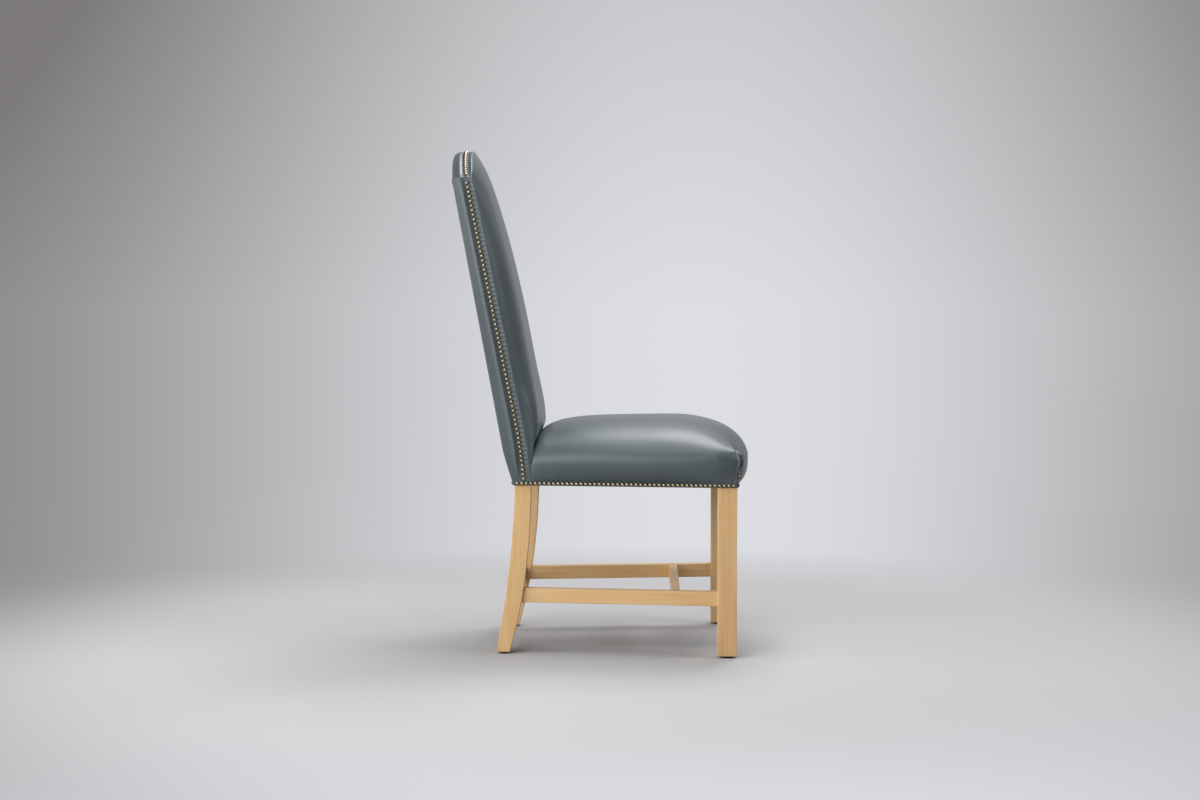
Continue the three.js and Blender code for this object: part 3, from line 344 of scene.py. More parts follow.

# %% [markdown]
# ## Small finishes
# The nails are steel with a brass plate that was darkened, rubbed back and lacquered, so the domes shine
# warm under a clear coat. Each dome's colour runs from light brass at the top to near black at the rim:
# partly the rubbed-back finish, partly a painted highlight on the top and painted shade round the rim,
# where neighbouring nails meet. The glides are moulded nylon with a faint tool texture. The dust cover
# is black non-woven cambric, the straps are jute with a 2 mm weave, and the screws are bright zinc.

# %% Antique brass
brass, tree, shader = new_material("antiqued brass plate", Metallic=1.0, Coat_Weight=1.0, Coat_IOR=1.8,
                                   Coat_Roughness=0.14)
place = add_node(tree, "TexCoord", out="Object")
patina = add_node(tree, "TexNoise", {"Vector": place, "Scale": 260.0, "Detail": 3.0})
worn = add_node(tree, "MapRange", {"Value": patina, "From Min": 0.35, "From Max": 0.6, "To Min": 0.75})
height = add_node(tree, "Attribute", out="Fac", attribute_name="dome")
# Painted light: colour and gloss follow the height on the dome. The top is light and glossy, as rubbed brass
# with a painted highlight. The rim is near black and rough, as darkened brass with painted shade.
rubbed_and_painted_light = add_node(tree, "MapRange", {"Value": height, "From Min": 0.5, "From Max": 0.95})
rubbed_and_painted_light = add_node(tree, "Math", {0: rubbed_and_painted_light, 1: worn}, operation="MULTIPLY")
metal = add_node(tree, "Mix", {0: rubbed_and_painted_light, 6: "#120d08", 7: "#a8976f"}, 2, data_type="RGBA")
dull = add_node(tree, "MapRange", {"Value": rubbed_and_painted_light, "To Min": 0.35, "To Max": 0.17})
set_inputs(tree, shader, {"Base Color": metal, "Roughness": dull})
print("brass:", len(tree.nodes), "nodes")

# %% Nylon, zinc, cambric and jute
def speckled_material(name, scale, dark, light, height=None, **values):
    """A fine noise between two colours, as on moulded or plated parts. It also raises the surface, by a
    height in metres, where one is given."""
    material, tree, shader = new_material(name, **values)
    place = add_node(tree, "TexCoord", out="Object")
    spots = add_node(tree, "TexNoise", {"Vector": place, "Scale": scale})
    inputs = {"Base Color": add_node(tree, "Mix", {0: spots, 6: dark, 7: light}, 2, data_type="RGBA")}
    if height:
        inputs["Normal"] = add_node(tree, "Bump", {"Height": spots, "Strength": 0.5, "Distance": height})
    set_inputs(tree, shader, inputs)
    return material


def woven_material(name, light, dark, thread, roughness):
    """Two sets of threads, one across the other: the product of two sines, a thread's width apart."""
    material, tree, shader = new_material(name, Roughness=roughness)
    parts = add_node(tree, "SeparateXYZ", {0: add_node(tree, "TexCoord", out="Object")}, None)
    waves = []
    for axis in ("X", "Y"):
        turns = add_node(tree, "Math", {0: parts[axis], 1: math.pi / thread}, operation="MULTIPLY")
        waves.append(add_node(tree, "Math", {0: turns}, operation="SINE"))
    weave = add_node(tree, "Math", {0: waves[0], 1: waves[1]}, operation="MULTIPLY")
    shade = add_node(tree, "MapRange", {"Value": weave, "From Min": -1.0})
    cloth = add_node(tree, "Mix", {0: shade, 6: dark, 7: light}, 2, data_type="RGBA")
    raised = add_node(tree, "Bump", {"Height": shade, "Strength": 0.6, "Distance": thread / 6})
    set_inputs(tree, shader, {"Base Color": cloth, "Normal": raised})
    return material


nylon = speckled_material("moulded black nylon", 1400.0, "#121212", "#1c1c1c", 0.00004, Roughness=0.5,
                          IOR=1.53)
zinc = speckled_material("zinc plated steel", 500.0, "#9da1a4", "#b8bcbe", Metallic=1.0, Roughness=0.35)
cambric = woven_material("black cambric", "#232325", "#17171a", 0.0012, 0.92)
jute = woven_material("jute webbing", "#b39a6e", "#7d673f", 0.002, 0.9)
print("materials so far:", len(bpy.data.materials))

# %% [markdown]
# ## The wooden legs and stretchers
# Each bar on the real chair is planed from a plank and its arrises are eased by about a millimetre, which
# is what catches the light along every edge. A rounded rectangle carried along a path gives that shape
# directly. At both ends the section steps in by the same millimetre, as a chamfered foot does. Each bar
# also stores the plank vector that the beech material reads, with a start of its own, so no two bars
# show the same figure.

# %% Bars with eased arrises
def rounded_loop(arris, steps=3):
    """Outline of a rectangle with round corners: for each point, the signs of its corner and its place
    on that corner's quarter circle."""
    signs = np.repeat([[1, 1], [-1, 1], [-1, -1], [1, -1]], steps, axis=0)
    turns = np.linspace(0, math.pi / 2, steps)
    angle = (np.arange(4)[:, None] * math.pi / 2 + turns).ravel()
    return signs, stacked(np.cos(angle), np.sin(angle)) * arris


def bar(name, node, centres, halves, axes, seed, arris=1.2):
    """A rounded rectangle carried along a path. Each ring is its centre, plus the half sizes along the
    first two axes, plus the rounding at the corners. The first and last rings are repeated, drawn in by
    the arris, which makes the chamfer at the ends. The third axis runs along the plank."""
    centres, halves, axes = (np.asarray(part, float) for part in (centres, halves, axes))
    heading = np.gradient(centres, axis=0)
    heading /= np.linalg.norm(heading, axis=1)[:, None]
    first, last = centres[0] + heading[0] * arris, centres[-1] - heading[-1] * arris
    centres = np.concatenate([centres[:1], [first], centres[1:-1], [last], centres[-1:]])
    halves = np.concatenate([halves[:1] - arris, halves[:1], halves[1:-1], halves[-1:], halves[-1:] - arris])
    signs, corner = rounded_loop(arris)
    flat = signs * (halves[:, None, :] - arris) + corner
    points = centres[:, None, :] + flat[..., :1] * axes[0] + flat[..., 1:] * axes[1]
    rows, columns = points.shape[:2]
    faces = grid_faces(rows, columns, closed=True)
    faces += [list(range(columns))[::-1], [(rows - 1) * columns + c for c in range(columns)]]
    piece = tidy(mesh_from(name, points.reshape(-1, 3), faces))
    local = coordinates(piece)
    plank = np.stack([local @ axis for axis in axes], axis=1)
    store(piece, "plank", plank + np.random.default_rng(seed).uniform(-5, 5, 3))
    piece.data.materials.append(beech)
    piece.modifiers.new("even shading", "WEIGHTED_NORMAL").keep_sharp = True
    settle(piece, "lacquered_beech", node)
    return piece


UPRIGHT = [(1, 0, 0), (0, 1, 0), (0, 0, 1)]
for label, side in SIDES:
    centres = stacked(side * (HALF_FRONT - LEG / 2), LEG / 2, np.linspace(FOOT, 400, 12))
    leg = bar(f"beech_front_leg_{label}", f"{label}_front_leg", centres, np.full((12, 2), LEG / 2), UPRIGHT,
              seed=3 + side)
print("front legs:", len(leg.data.polygons), "faces each")

# %% [markdown]
# The rear legs are the show pieces of the joinery: each is sawn from one wide plank, a sabre curve below
# and a raked post above. The front and rear edges are smooth curves through a few measured points, and
# the section between them is carried up from the floor. A Catmull-Rom curve passes through every point
# that it is given, which suits measured places.

# %% Rear posts
# Up from the floor, each row has a share of the height, and of the sweep for the rear and front edges.
SWEEPS = [(1, 1, 1), (0.79, 0.7, 0.61), (0.6, 0.42, 0.335), (0.31, 0.15, 0.09), (0, 0, 0)]
BENDS = [(0.55, 0.47, 0.39), (1, 1, 1)]  # the same from the straight part up to the bend
REAR_SWEEP, FRONT_SWEEP = 38, 44.5  # how far each edge runs back at the floor


def catmull_rom(points, steps):
    """A smooth curve through the points: on each span, a cubic whose slope at a point is half the way
    from the point before it to the point after it."""
    points = np.asarray(points, float)
    padded = np.concatenate([points[:1], points, points[-1:]])
    t = np.linspace(0, 1, steps, endpoint=False)[:, None]
    spans = []
    for a, b, c, d in zip(padded[:-3], padded[1:-2], padded[2:-1], padded[3:]):
        spans.append(b + t * (c - a) / 2 + t ** 2 * (2 * a - 5 * b + 4 * c - d) / 2
                     + t ** 3 * (3 * b - a - 3 * c + d) / 2)
    return np.concatenate(spans + [points[-1:]])


def post_line(leg_y, sweep, bend_y, column, above):
    """One edge of the post at each height: a smooth curve up to the bend, and the raked line above."""
    low = [(leg_y + sweep * row[column], lerp(COVER_BOTTOM, FOOT, row[0])) for row in SWEEPS]
    high = [(lerp(leg_y, bend_y, row[column]), lerp(COVER_BOTTOM, BEND, row[0])) for row in BENDS]
    edge = catmull_rom(low + high, 8)
    return np.where(heights <= BEND, np.interp(heights, edge[:, 1], edge[:, 0]), above)


heights = np.concatenate([np.linspace(FOOT, BEND, 46), [620, 760, POST_TOP]])
bend_rear = float(rear_y(BEND)) - POST_INSET
rear_line = post_line(POST_REAR, REAR_SWEEP, bend_rear, 1, rear_y(heights) - POST_INSET)
front_line = post_line(POST_FRONT, FRONT_SWEEP, bend_rear - DEPTH_BEND, 2, rear_line - post_depth(heights))
for label, side in SIDES:
    centres = stacked(side * (HALF_REAR - POST_HALF), (rear_line + front_line) / 2, heights)
    post = bar(f"beech_rear_post_{label}", f"{label}_rear_post", centres,
               stacked(POST_HALF, (rear_line - front_line) / 2), UPRIGHT, seed=11 + side)
print("rear posts:", len(post.data.polygons), "faces each")

# %% [markdown]
# The stretchers tie the legs together low down. Two run along the sides, set 8 mm in from the outer faces
# of the legs. Two slimmer ones cross the chair, one between the side stretchers and one between the rear
# legs. Their ends go into mortises, so each bar simply runs on into the wood that holds it.

# %% Stretchers
STRETCHER_LOW, STRETCHER_HIGH = 107.7, 137.7
SET_IN = 8  # from the outer face of the legs
SIDE_HALF, CROSS_HALF = 11, 8.75  # half the thickness of the side stretchers and of the other two
stretcher_half = (STRETCHER_HIGH - STRETCHER_LOW) / 2
stretcher_z = (STRETCHER_HIGH + STRETCHER_LOW) / 2
splay = math.atan2(HALF_FRONT - HALF_REAR, POST_FRONT - LEG)
for label, side in SIDES:
    y = np.linspace(26, 452, 10)
    straight_face = lerp(HALF_FRONT, HALF_REAR, (y - LEG) / (POST_FRONT - LEG))
    centres = stacked(side * (straight_face - SET_IN - SIDE_HALF / math.cos(splay)), y, stretcher_z)
    axes = [(math.cos(splay), side * math.sin(splay), 0), (0, 0, 1),
            (-side * math.sin(splay), math.cos(splay), 0)]
    bar(f"beech_stretcher_{label}", f"{label}_stretcher", centres,
        np.tile([SIDE_HALF, stretcher_half], (10, 1)), axes, seed=21 + side)
for name, node, y, half_length in (("beech_stretcher_cross", "cross_stretcher", 125.25, 207.5),
                                   ("beech_stretcher_rear", "rear_stretcher", 465.2, 161.5)):
    centres = stacked(np.linspace(-half_length, half_length, 8), y, stretcher_z)
    bar(name, node, centres, np.tile([CROSS_HALF, stretcher_half], (8, 1)),
        [(0, 1, 0), (0, 0, 1), (1, 0, 0)], seed=round(y))
print("stretchers at", stretcher_z, "mm")

# %% [markdown]
# ## Cloth under pressure
# Leather over padding is never a perfect surface: it is held where it is nailed and swells gently
# between. Blender's cloth shows this well. The seat is first worked out a little small, the places that
# are held are pinned, and a light pressure fills each cover for twenty frames with gravity off. How far
# any point may move is capped, so that the cushion keeps its measured size. Cloth also leaves small
# creases, and stretched leather has none, so each point's move is evened out with its neighbours' moves.

# %% Filling a cover
EVEN_REACH, HELD_FADE = 0.02, 0.008  # metres
PRESSURE, CLOTH_FRAMES = 4.0, 20
LEATHER_THICKNESS = 0.0015


def even_out(piece, points, shift, held):
    """Each point's shift becomes the mean of all shifts, weighted by area and by a bell curve of their
    distance. It fades to nothing within about 8 mm of the held points."""
    area = np.zeros(len(points))
    faces = np.empty(len(piece.data.polygons))
    piece.data.polygons.foreach_get("area", faces)
    corners = np.empty(len(piece.data.loops), int)
    piece.data.loops.foreach_get("vertex_index", corners)
    totals = np.empty(len(faces), int)
    piece.data.polygons.foreach_get("loop_total", totals)
    np.add.at(area, corners, np.repeat(faces / totals, totals))
    size = (points ** 2).sum(axis=1)
    result = np.empty_like(shift)
    for start in range(0, len(points), 500):
        part = slice(start, start + 500)
        square = np.maximum(size[part, None] + size[None] - 2 * points[part] @ points.T, 0)
        weight = np.exp(-square / EVEN_REACH ** 2) * area
        mean = weight @ shift / weight.sum(axis=1)[:, None]
        result[part] = mean * (1 - np.exp(-square[:, held].min(axis=1) / HELD_FADE ** 2))[:, None]
    return result


def fill_cover(piece, held, cap):
    """Swells a cover by cloth simulation. held is a mask of pinned points. The cap, in metres, is one
    value or one for each point, and a move nears it like a hyperbolic tangent."""
    rest = coordinates(piece)
    group = piece.vertex_groups.new(name="held")
    group.add(np.flatnonzero(held).tolist(), 1.0, "REPLACE")
    cloth = piece.modifiers.new("Cloth", "CLOTH")
    settings = cloth.settings
    settings.vertex_group_mass = "held"
    settings.use_pressure = True
    settings.uniform_pressure_force = PRESSURE
    settings.effector_weights.gravity = 0
    settings.quality = 4
    settings.tension_stiffness = settings.compression_stiffness = 25
    settings.shear_stiffness = 12
    settings.bending_stiffness = 4
    cloth.point_cache.frame_start, cloth.point_cache.frame_end = 1, CLOTH_FRAMES
    for step in range(1, CLOTH_FRAMES + 1):
        scene.frame_set(step)
    filled = piece.evaluated_get(bpy.context.evaluated_depsgraph_get())
    moved = np.empty(len(rest) * 3, np.float32)
    filled.data.vertices.foreach_get("co", moved)
    shift = moved.reshape(-1, 3).astype(float) - rest
    length = np.linalg.norm(shift, axis=1)[:, None]
    cap = np.broadcast_to(cap, len(rest))[:, None]
    shift *= np.tanh(length / cap) * cap / np.maximum(length, 1e-9)
    shift = even_out(piece, rest, shift, held)
    piece.modifiers.remove(cloth)
    piece.vertex_groups.remove(group)
    scene.frame_set(1)
    piece.data.vertices.foreach_set("co", (rest + shift).astype(np.float32).ravel())
    piece.data.update()
    print(piece.name, "swelled by up to", round(float(np.abs(shift).max()) * 1000, 1), "mm")


def dress(piece, *nodes, fill, seam):
    """Gives a cover its leather, its thickness and its rounded edges, and ties it to the frame. The seam
    is how far along its row of nails, and how far from it, each point lies, stored in metres."""
    store(piece, "seam", stacked(*seam, 0) / 1000)
    piece.data.materials.append(leather)
    wall = piece.modifiers.new("thickness", "SOLIDIFY")
    wall.thickness, wall.offset, wall.use_even_offset = LEATHER_THICKNESS, -1, False
    smooth = piece.modifiers.new("smooth", "SUBSURF")
    smooth.levels = smooth.render_levels = 1
    settle(piece, "slate_leather", *nodes)


# %% [markdown]
# ## The seat
# One hide goes over the whole seat: flat under the nails, out over the padding of the sides, up and over
# a rounded edge and across a low crown. At the front it rolls out furthest. The surface is a grid whose
# columns stand round the plan of the seat and whose rings climb from the lower edge to the crown. The
# crown's height at a place is the full height times three roundings, one from the front, one from the
# rear and one from the nearer side, which gives soft corners by itself. The leather can't follow a sharp
# corner, so at each front corner it is folded into a pleat: the rounding rises to a point there and a
# slit runs down from it.

# %% Plan of the seat
CORNER_ROUND, REAR_ROUND = 2.6, 8
CORNER = (FRONT_HALF - CORNER_ROUND, SEAT_FRONT + CORNER_ROUND)  # centre of the front corner's rounding
SEAT_BACK = SEAT_REAR + 4  # the seat runs on 4 mm behind the front of the back


def straight(start, end, shares, facing):
    """Rows of a plan along a straight line: the place at each share of the way, and the outward way."""
    places = lerp(np.array(start), np.array(end), shares[:, None])
    return np.concatenate([places, np.tile(facing, (len(shares), 1))], axis=1)


def arc(centre, radius, turn):
    """Rows of a plan round an arc: the centre plus the radius times each direction, and the direction."""
    return np.concatenate([np.array(centre) + radius * turn, turn], axis=1)


def seat_plan():
    """Half of the plan, from the middle of the rear round to the middle of the front: rows of x, y and
    the outward direction. Points stand closer together near the front corner."""
    side_way = np.array([math.cos(splay), math.sin(splay)])
    start_y = SEAT_BACK - REAR_ROUND * (1 - side_way[1])
    start = np.array([float(face_x(start_y)) + STAND_OFF, start_y])
    centre = start - REAR_ROUND * side_way
    leg_back = [FRONT_HALF, LEG]
    rear_turn = np.linspace(math.pi / 2, splay, 6, endpoint=False)
    front_turn = np.linspace(0, -math.pi / 2, 33, endpoint=False)
    closer = 1 - (1 - np.linspace(0, 1, 16, endpoint=False)) ** 1.8
    return np.concatenate([
        straight([0, SEAT_BACK], [centre[0], SEAT_BACK], np.linspace(0, 1, 26, endpoint=False), [0, 1]),
        arc(centre, REAR_ROUND, stacked(np.cos(rear_turn), np.sin(rear_turn))),
        straight(start, leg_back, np.linspace(0, 1, 62, endpoint=False), side_way),
        straight(leg_back, [FRONT_HALF, CORNER[1]], closer, [1, 0]),
        arc(CORNER, CORNER_ROUND, stacked(np.cos(front_turn), np.sin(front_turn))),
        straight([CORNER[0], SEAT_FRONT], [0, SEAT_FRONT], np.linspace(0, 1, 46) ** 1.35, [0, -1])])


half_plan = seat_plan()
plan = np.concatenate([half_plan, half_plan[1:-1][::-1] * (-1, 1, -1, 1)])
PAST_REAR = 40  # from this station on, the outward way turns steadily from the side to the front
corner_turn = np.degrees(np.arctan2(-half_plan[:, 3], half_plan[:, 2]))
corner_station = int(np.searchsorted(corner_turn[PAST_REAR:], 45)) + PAST_REAR
side_row = np.array([[BACK_HALF, float(rear_y(NAIL_LINE)) - 3],
                     [float(face_x(SEAT_REAR)) + STAND_OFF, SEAT_REAR], [FRONT_HALF, LEG],
                     [FRONT_HALF, CORNER[1]]])


def first_nail(length):
    """Where the first nail sits, so that the row is centred on its length, and how many nails it has."""
    count = int((length - 2 * NAIL_END) // NAIL_PITCH)
    return (length - count * NAIL_PITCH) / 2, count + 1


side_length = float(np.linalg.norm(np.diff(side_row, axis=0), axis=1).sum())
seat_row_start = float(side_row[0, 1]) - first_nail(side_length)[0]
front_row_start = -CORNER[0] + first_nail(2 * CORNER[0])[0]
print("stations round the seat:", len(plan))

# %% Heights of the seat
BAND_TOP, WIDEST = 364.3, 402
SPINE = (SEAT_FRONT + 110, SEAT_REAR - 125)  # the line down the middle, where the rings end
SHRINK = 0.8  # the seat starts this much small, and the cloth fills it
SIDE_RADIUS = 1.5  # radius of the side below its widest place, as a share of the height there


def side_bulge(y):
    """How far the side stands out: 2 mm at the front corner, 8 mm from 80 mm behind it, and 12 mm more in
    the middle. The power of the sine makes the side turn in mostly near its two ends."""
    share = np.clip((y - SEAT_FRONT) / (SEAT_REAR - SEAT_FRONT), 0, 1)
    return lerp(2, 8, rounded(y - SEAT_FRONT, 80, 2)) + 12 * np.sin(math.pi * share) ** 0.6


def front_bulge(x):
    """How far the front rolls out: 29.8 mm in the middle, falling to 12 mm at the corners."""
    return lerp(29.8, 12, (x / FRONT_HALF) ** 2)


def widest_height(x, y):
    """Height where the leather stands out furthest. It rises towards each front corner, up to the
    point of the pleat, and dips 4 mm towards the rear, where the back holds the seat down."""
    away = np.hypot(np.abs(x) - (HALF_FRONT + 5), y + 6)
    return WIDEST - 4 * smoothstep(y, 270, 400) + 23 * np.exp(-(away / 52) ** 1.2)


def side_inset(x, y):
    """Distance inwards from the line where the side stands out furthest."""
    return face_x(y) + STAND_OFF + side_bulge(y) - np.abs(x)


def crown_z(x, y, slack=0):
    """Height of the crown: the full rise times the three roundings. The slack is taken off the inset, so
    that the rounding starts exactly at the edge, where it is steepest."""
    low = widest_height(x, y)
    rise = rounded(side_inset(x, y) - slack, side_inset(0, y), 2.3)
    rise = rise * rounded(y - SEAT_FRONT + front_bulge(x), 155, 2.05)
    pressed = lerp(1, 0.42, smoothstep(np.abs(x), 0, 230))  # the back holds the sides up
    rise = rise * rounded(SEAT_REAR + 2 - y, 250, 4) ** pressed
    tilt = 0.014 * np.clip(y - 150, 0, None)  # the seat dips a little towards the back
    return low + (SEAT_TOP - low - tilt) * rise


def seat_surface():
    """Grid of the seat, rings by stations. Rings climb the flat band, then the bulge, then run inwards
    over the crown to a line down the middle. Below its widest place the side is part of a circle whose
    radius is 1.5 times that height, and the front is a fuller superellipse of power 3."""
    x, y, nx, ny = plan.T
    shrink = np.where(ny > 0.5, 0, SHRINK)
    base_x, base_y = x - nx * shrink, y - ny * shrink
    rings = [stacked(base_x, base_y, z) for z in (COVER_BOTTOM, COVER_BOTTOM + 2, COVER_BOTTOM + 6)]
    bulge = nx ** 2 * side_bulge(y) + np.where(ny < 0, ny ** 2 * front_bulge(x), 0)
    top = widest_height(x, y)
    foot = math.sqrt(SIDE_RADIUS ** 2 - 1)
    for fall in (1, 0.985, 0.94, 0.87, 0.77, 0.65, 0.51, 0.36, 0.2, 0.08):
        side_part = (math.sqrt(SIDE_RADIUS ** 2 - fall ** 2) - foot) / (SIDE_RADIUS - foot)
        out = bulge * lerp(side_part, (1 - fall ** 3) ** (1 / 3), ny ** 2)
        rings.append(stacked(base_x + nx * out, base_y + ny * out, top - (top - BAND_TOP) * fall))
    edge = stacked(base_x + nx * bulge, base_y + ny * bulge)
    target = stacked(0, np.clip(y, *SPINE))
    slack = side_inset(*edge.T) * smoothstep(np.abs(nx), 0.9, 0.99)
    for share in np.linspace(0, 1, 34) ** 2.6:
        place = lerp(edge, target, share)
        rings.append(stacked(*place.T, crown_z(*place.T, slack * (1 - share))))
    return np.stack(rings)


def seat_seam(points):
    """Distance along the nearest row of nails, in y for the sides and in x for the front and the rear,
    and height over it."""
    x, y, z = points.T
    beside = np.abs(x) > face_x(y) - 4
    along = np.where(beside, (y - seat_row_start) / math.cos(splay), x - front_row_start)
    return along, z - NAIL_LINE


seat_grid = seat_surface()
print("seat grid:", seat_grid.shape)

# %% [markdown]
# The pleat is where the leather of the side laps over that of the front. It starts in a point high on
# the corner, where the shoulder of the seat ends in a ridge. Below the point the lap stands open as a
# short slit that bows towards the front, and further down three nails hold it shut. The corner leans in
# above and below its widest place, which gives the slit its curve when it is seen from the side.
# Inside the open slit the colour of the leather is painted near black, as painted shade.

# %% Pleats at the front corners
LEAN_REACH, SLIT_WIDTH, FOLD_WIDTH = 26, 1.4, 2.0
LAP_AWAY, LAP_WIDTH = 3.4, 2.2  # the lap's ridge stands this far to the side of the slit


def from_slit(grid, opening):
    """Distance along each ring from the line of the slit. The line is at the middle of the corner, 45
    degrees round it, and where the slit is open 14 degrees nearer the front."""
    half = grid[:, :len(half_plan)]
    steps = np.linalg.norm(np.diff(half, axis=1), axis=2)
    walked = np.concatenate([np.zeros((len(half), 1)), np.cumsum(steps, axis=1)], axis=1)
    aims = 45 + 14 * opening[:, corner_station]
    walked -= np.array([[np.interp(aim, corner_turn[PAST_REAR:], row[PAST_REAR:])]
                        for aim, row in zip(aims, walked)])
    return np.concatenate([walked, walked[:, 1:-1][:, ::-1]], axis=1)


def pleat(grid):
    """Shapes the front corners. The corner first leans in above and below its widest place, by amounts
    that fade with distance. Then a slit is pressed in: a bell curve across the corner times a window in
    height. The side stands proud beside it, because its leather laps over. Also returns how deep in the
    open slit each point lies, which the leather uses to paint shade into the slit."""
    z = grid[..., 2]
    away = np.hypot(np.abs(grid[..., 0]) - CORNER[0], grid[..., 1] - CORNER[1])
    near = np.exp(-(away / LEAN_REACH) ** 2)
    lean = 7.5 * smoothstep(z, 410, 427) * near
    lean = lean + 4.6 * (1 - smoothstep(z, 388, 408)) * smoothstep(z, 360, 376) * near
    opening = smoothstep(z, 391, 401) * (1 - smoothstep(z, 416, 427))
    shut = smoothstep(z, 361, 370) * (1 - smoothstep(z, 391, 401))
    distance = from_slit(grid, opening)
    bell = np.exp(-(distance / SLIT_WIDTH) ** 2)
    lap = np.exp(-((distance + LAP_AWAY) / LAP_WIDTH) ** 2)
    depth = lean + bell * (7 * opening + 1.2 * shut) - lap * (1.3 * opening + 0.5 * shut)
    corner_way = stacked(np.sign(plan[:, 0]), -1, 0) * math.sqrt(0.5)
    return grid - depth[..., None] * corner_way, np.exp(-(distance / FOLD_WIDTH) ** 2) * opening


folded_grid, fold = pleat(seat_grid)
seat = surface("leather_seat", folded_grid, closed=True, fold=fold)
points = maker_points(seat)
corner_away = np.hypot(np.abs(points[:, 0]) - 244, points[:, 1] + 4)
held = (points[:, 2] < BAND_TOP + 1) | ((corner_away < 14) & (points[:, 2] < 430))
near_fold = np.exp(-(corner_away / 70) ** 2) + np.exp(-((SEAT_BACK - points[:, 1]) / 55) ** 2)
fill_cover(seat, held, cap=0.0022 * (1 - 0.9 * np.clip(near_fold, 0, 1)))
dress(seat, "seat_cover", "seat_foam", fill=0.85, seam=seat_seam(points))
print("seat:", len(seat.data.polygons), "faces before smoothing")

# %% [markdown]
# ## The back
# Two covers meet along the nails. The inside back goes over the thick front padding, round the sides
# and over the arch, and the outside back is one flat panel with its edges brought round to meet it. The
# padding swells on both sides of the nails, which lie in the valley between. Columns stand along the
# outline of the back, up one side, round a tight shoulder, over the arch and down the other side.

# %% Outline of the back
SHOULDER_ROUND = 4


def back_outline():
    """Half of the outline, from the lower edge up to the crown: rows of x, z and the outward direction.
    The shoulder is a small arc that touches the straight side and the arch."""
    inner = ARCH_RADIUS - SHOULDER_ROUND
    centre_x = BACK_HALF - SHOULDER_ROUND
    centre_z = ARCH_CENTRE + math.sqrt(inner ** 2 - centre_x ** 2)
    last_angle = math.asin(centre_x / inner)
    turn = np.linspace(math.pi / 2, last_angle, 6, endpoint=False)
    over = np.linspace(last_angle, 0, 38)
    return np.concatenate([
        stacked(BACK_HALF, np.linspace(COVER_BOTTOM, centre_z, 104, endpoint=False), 1, 0),
        arc([centre_x, centre_z], SHOULDER_ROUND, stacked(np.sin(turn), np.cos(turn))),
        arc([0, ARCH_CENTRE], ARCH_RADIUS, stacked(np.sin(over), np.cos(over)))])


half_outline = back_outline()
outline = np.concatenate([half_outline, half_outline[:-1][::-1] * (-1, 1, -1, 1)])
print("stations round the back:", len(outline))

# %% Depths of the inside back
INSIDE_LOW = SEAT_REAR - 0.4  # the back is pressed against the rear of the seat
DEEPEST = 85.5  # the padding's most depth, in front of the rear line


def puff(x, z, nx, over):
    """Height of the swell beside the nails: 6.2 mm up the sides, another value over the arch, and none at
    the lower edge and at the shoulder, where the leather is folded and pulled flat."""
    height = lerp(over, 6.2, nx ** 2) * smoothstep(z, COVER_BOTTOM + 4, COVER_BOTTOM + 70)
    return height * (1 - 0.75 * np.exp(-(np.hypot(np.abs(x) - BACK_HALF, z - SHOULDER) / 13) ** 2))


def back_seam(points):
    """Distance along the nails, up the sides or over the arch, and away from them."""
    x, y, z = points.T
    over = z > ARCH_CENTRE + np.abs(x) / math.tan(ARCH_ANGLE)
    up = (z - NAIL_LINE) / math.cos(RAKE_ANGLE)
    across = np.arctan2(x, z - ARCH_CENTRE) * ARCH_RADIUS
    inset = np.where(over, ARCH_RADIUS - np.hypot(x, z - ARCH_CENTRE), BACK_HALF - np.abs(x))
    return np.where(over, across, up), np.hypot(y - nail_y(z), np.maximum(inset, 0))


def soft_min(a, b, width):
    """The lesser of two values, with the corner between them rounded over a width."""
    mixed = np.clip(0.5 + (b - a) / (2 * width), 0, 1)
    return lerp(b, a, mixed) - width * mixed * (1 - mixed)


def wall_depth(z):
    """Depth of the side of the back, forward of its rear line: over the post, and 2 mm of wadding."""
    return lerp(rear_y(z) - INSIDE_LOW, POST_INSET + post_depth(z) + 2, smoothstep(z, 452, 570))


def front_depth(x, z):
    """Depth of the padded front: the side's depth plus a crown that rises from the sides and the arch."""
    middle = rear_y(z) - INSIDE_LOW + 13.8 * smoothstep(z, 432, 474)
    edge = wall_depth(z)
    arch_z = ARCH_CENTRE + np.sqrt(np.maximum(ARCH_RADIUS ** 2 - x ** 2, 0))
    reach = lerp(40, 120, smoothstep(z, 450, 640))  # tighter where the seat presses against it
    rise = rounded(BACK_HALF - np.abs(x), reach, 2.5) * rounded(arch_z - z, 380, 1.85)
    return edge + (soft_min(middle, DEEPEST, 9) - edge) * rise


def rings_inwards(edge, shares, depth):
    """Rings from an edge of x and z in to a line down the middle, at a depth forward of the rear line."""
    target = stacked(0, np.minimum(edge[:, 1], SHOULDER - 120))
    places = [lerp(edge, target, share).T for share in shares]
    return [stacked(x, rear_y(z) - depth(x, z), z) for x, z in places]


def inside_surface():
    """Grid of the inside back. Rings go from the nails forward across the side and over the front to a
    line down the middle. Each point then swells outwards by the hump at its distance from the nails."""
    x, z, nx, nz = outline.T
    start, end = nail_y(z), rear_y(z) - wall_depth(z)
    rings = [stacked(x, lerp(start, end, share), z) for share in np.linspace(0, 1, 10)]
    grid = np.stack(rings + rings_inwards(stacked(x, z), np.linspace(0, 1, 32)[1:] ** 2.1, front_depth))
    swell = puff(x, z, nx, 3.8) * hump(start - grid[..., 1], 14, 8)
    swell[-1] = 0  # the line down the middle stays shut
    return grid + swell[..., None] * stacked(nx, 0, nz)


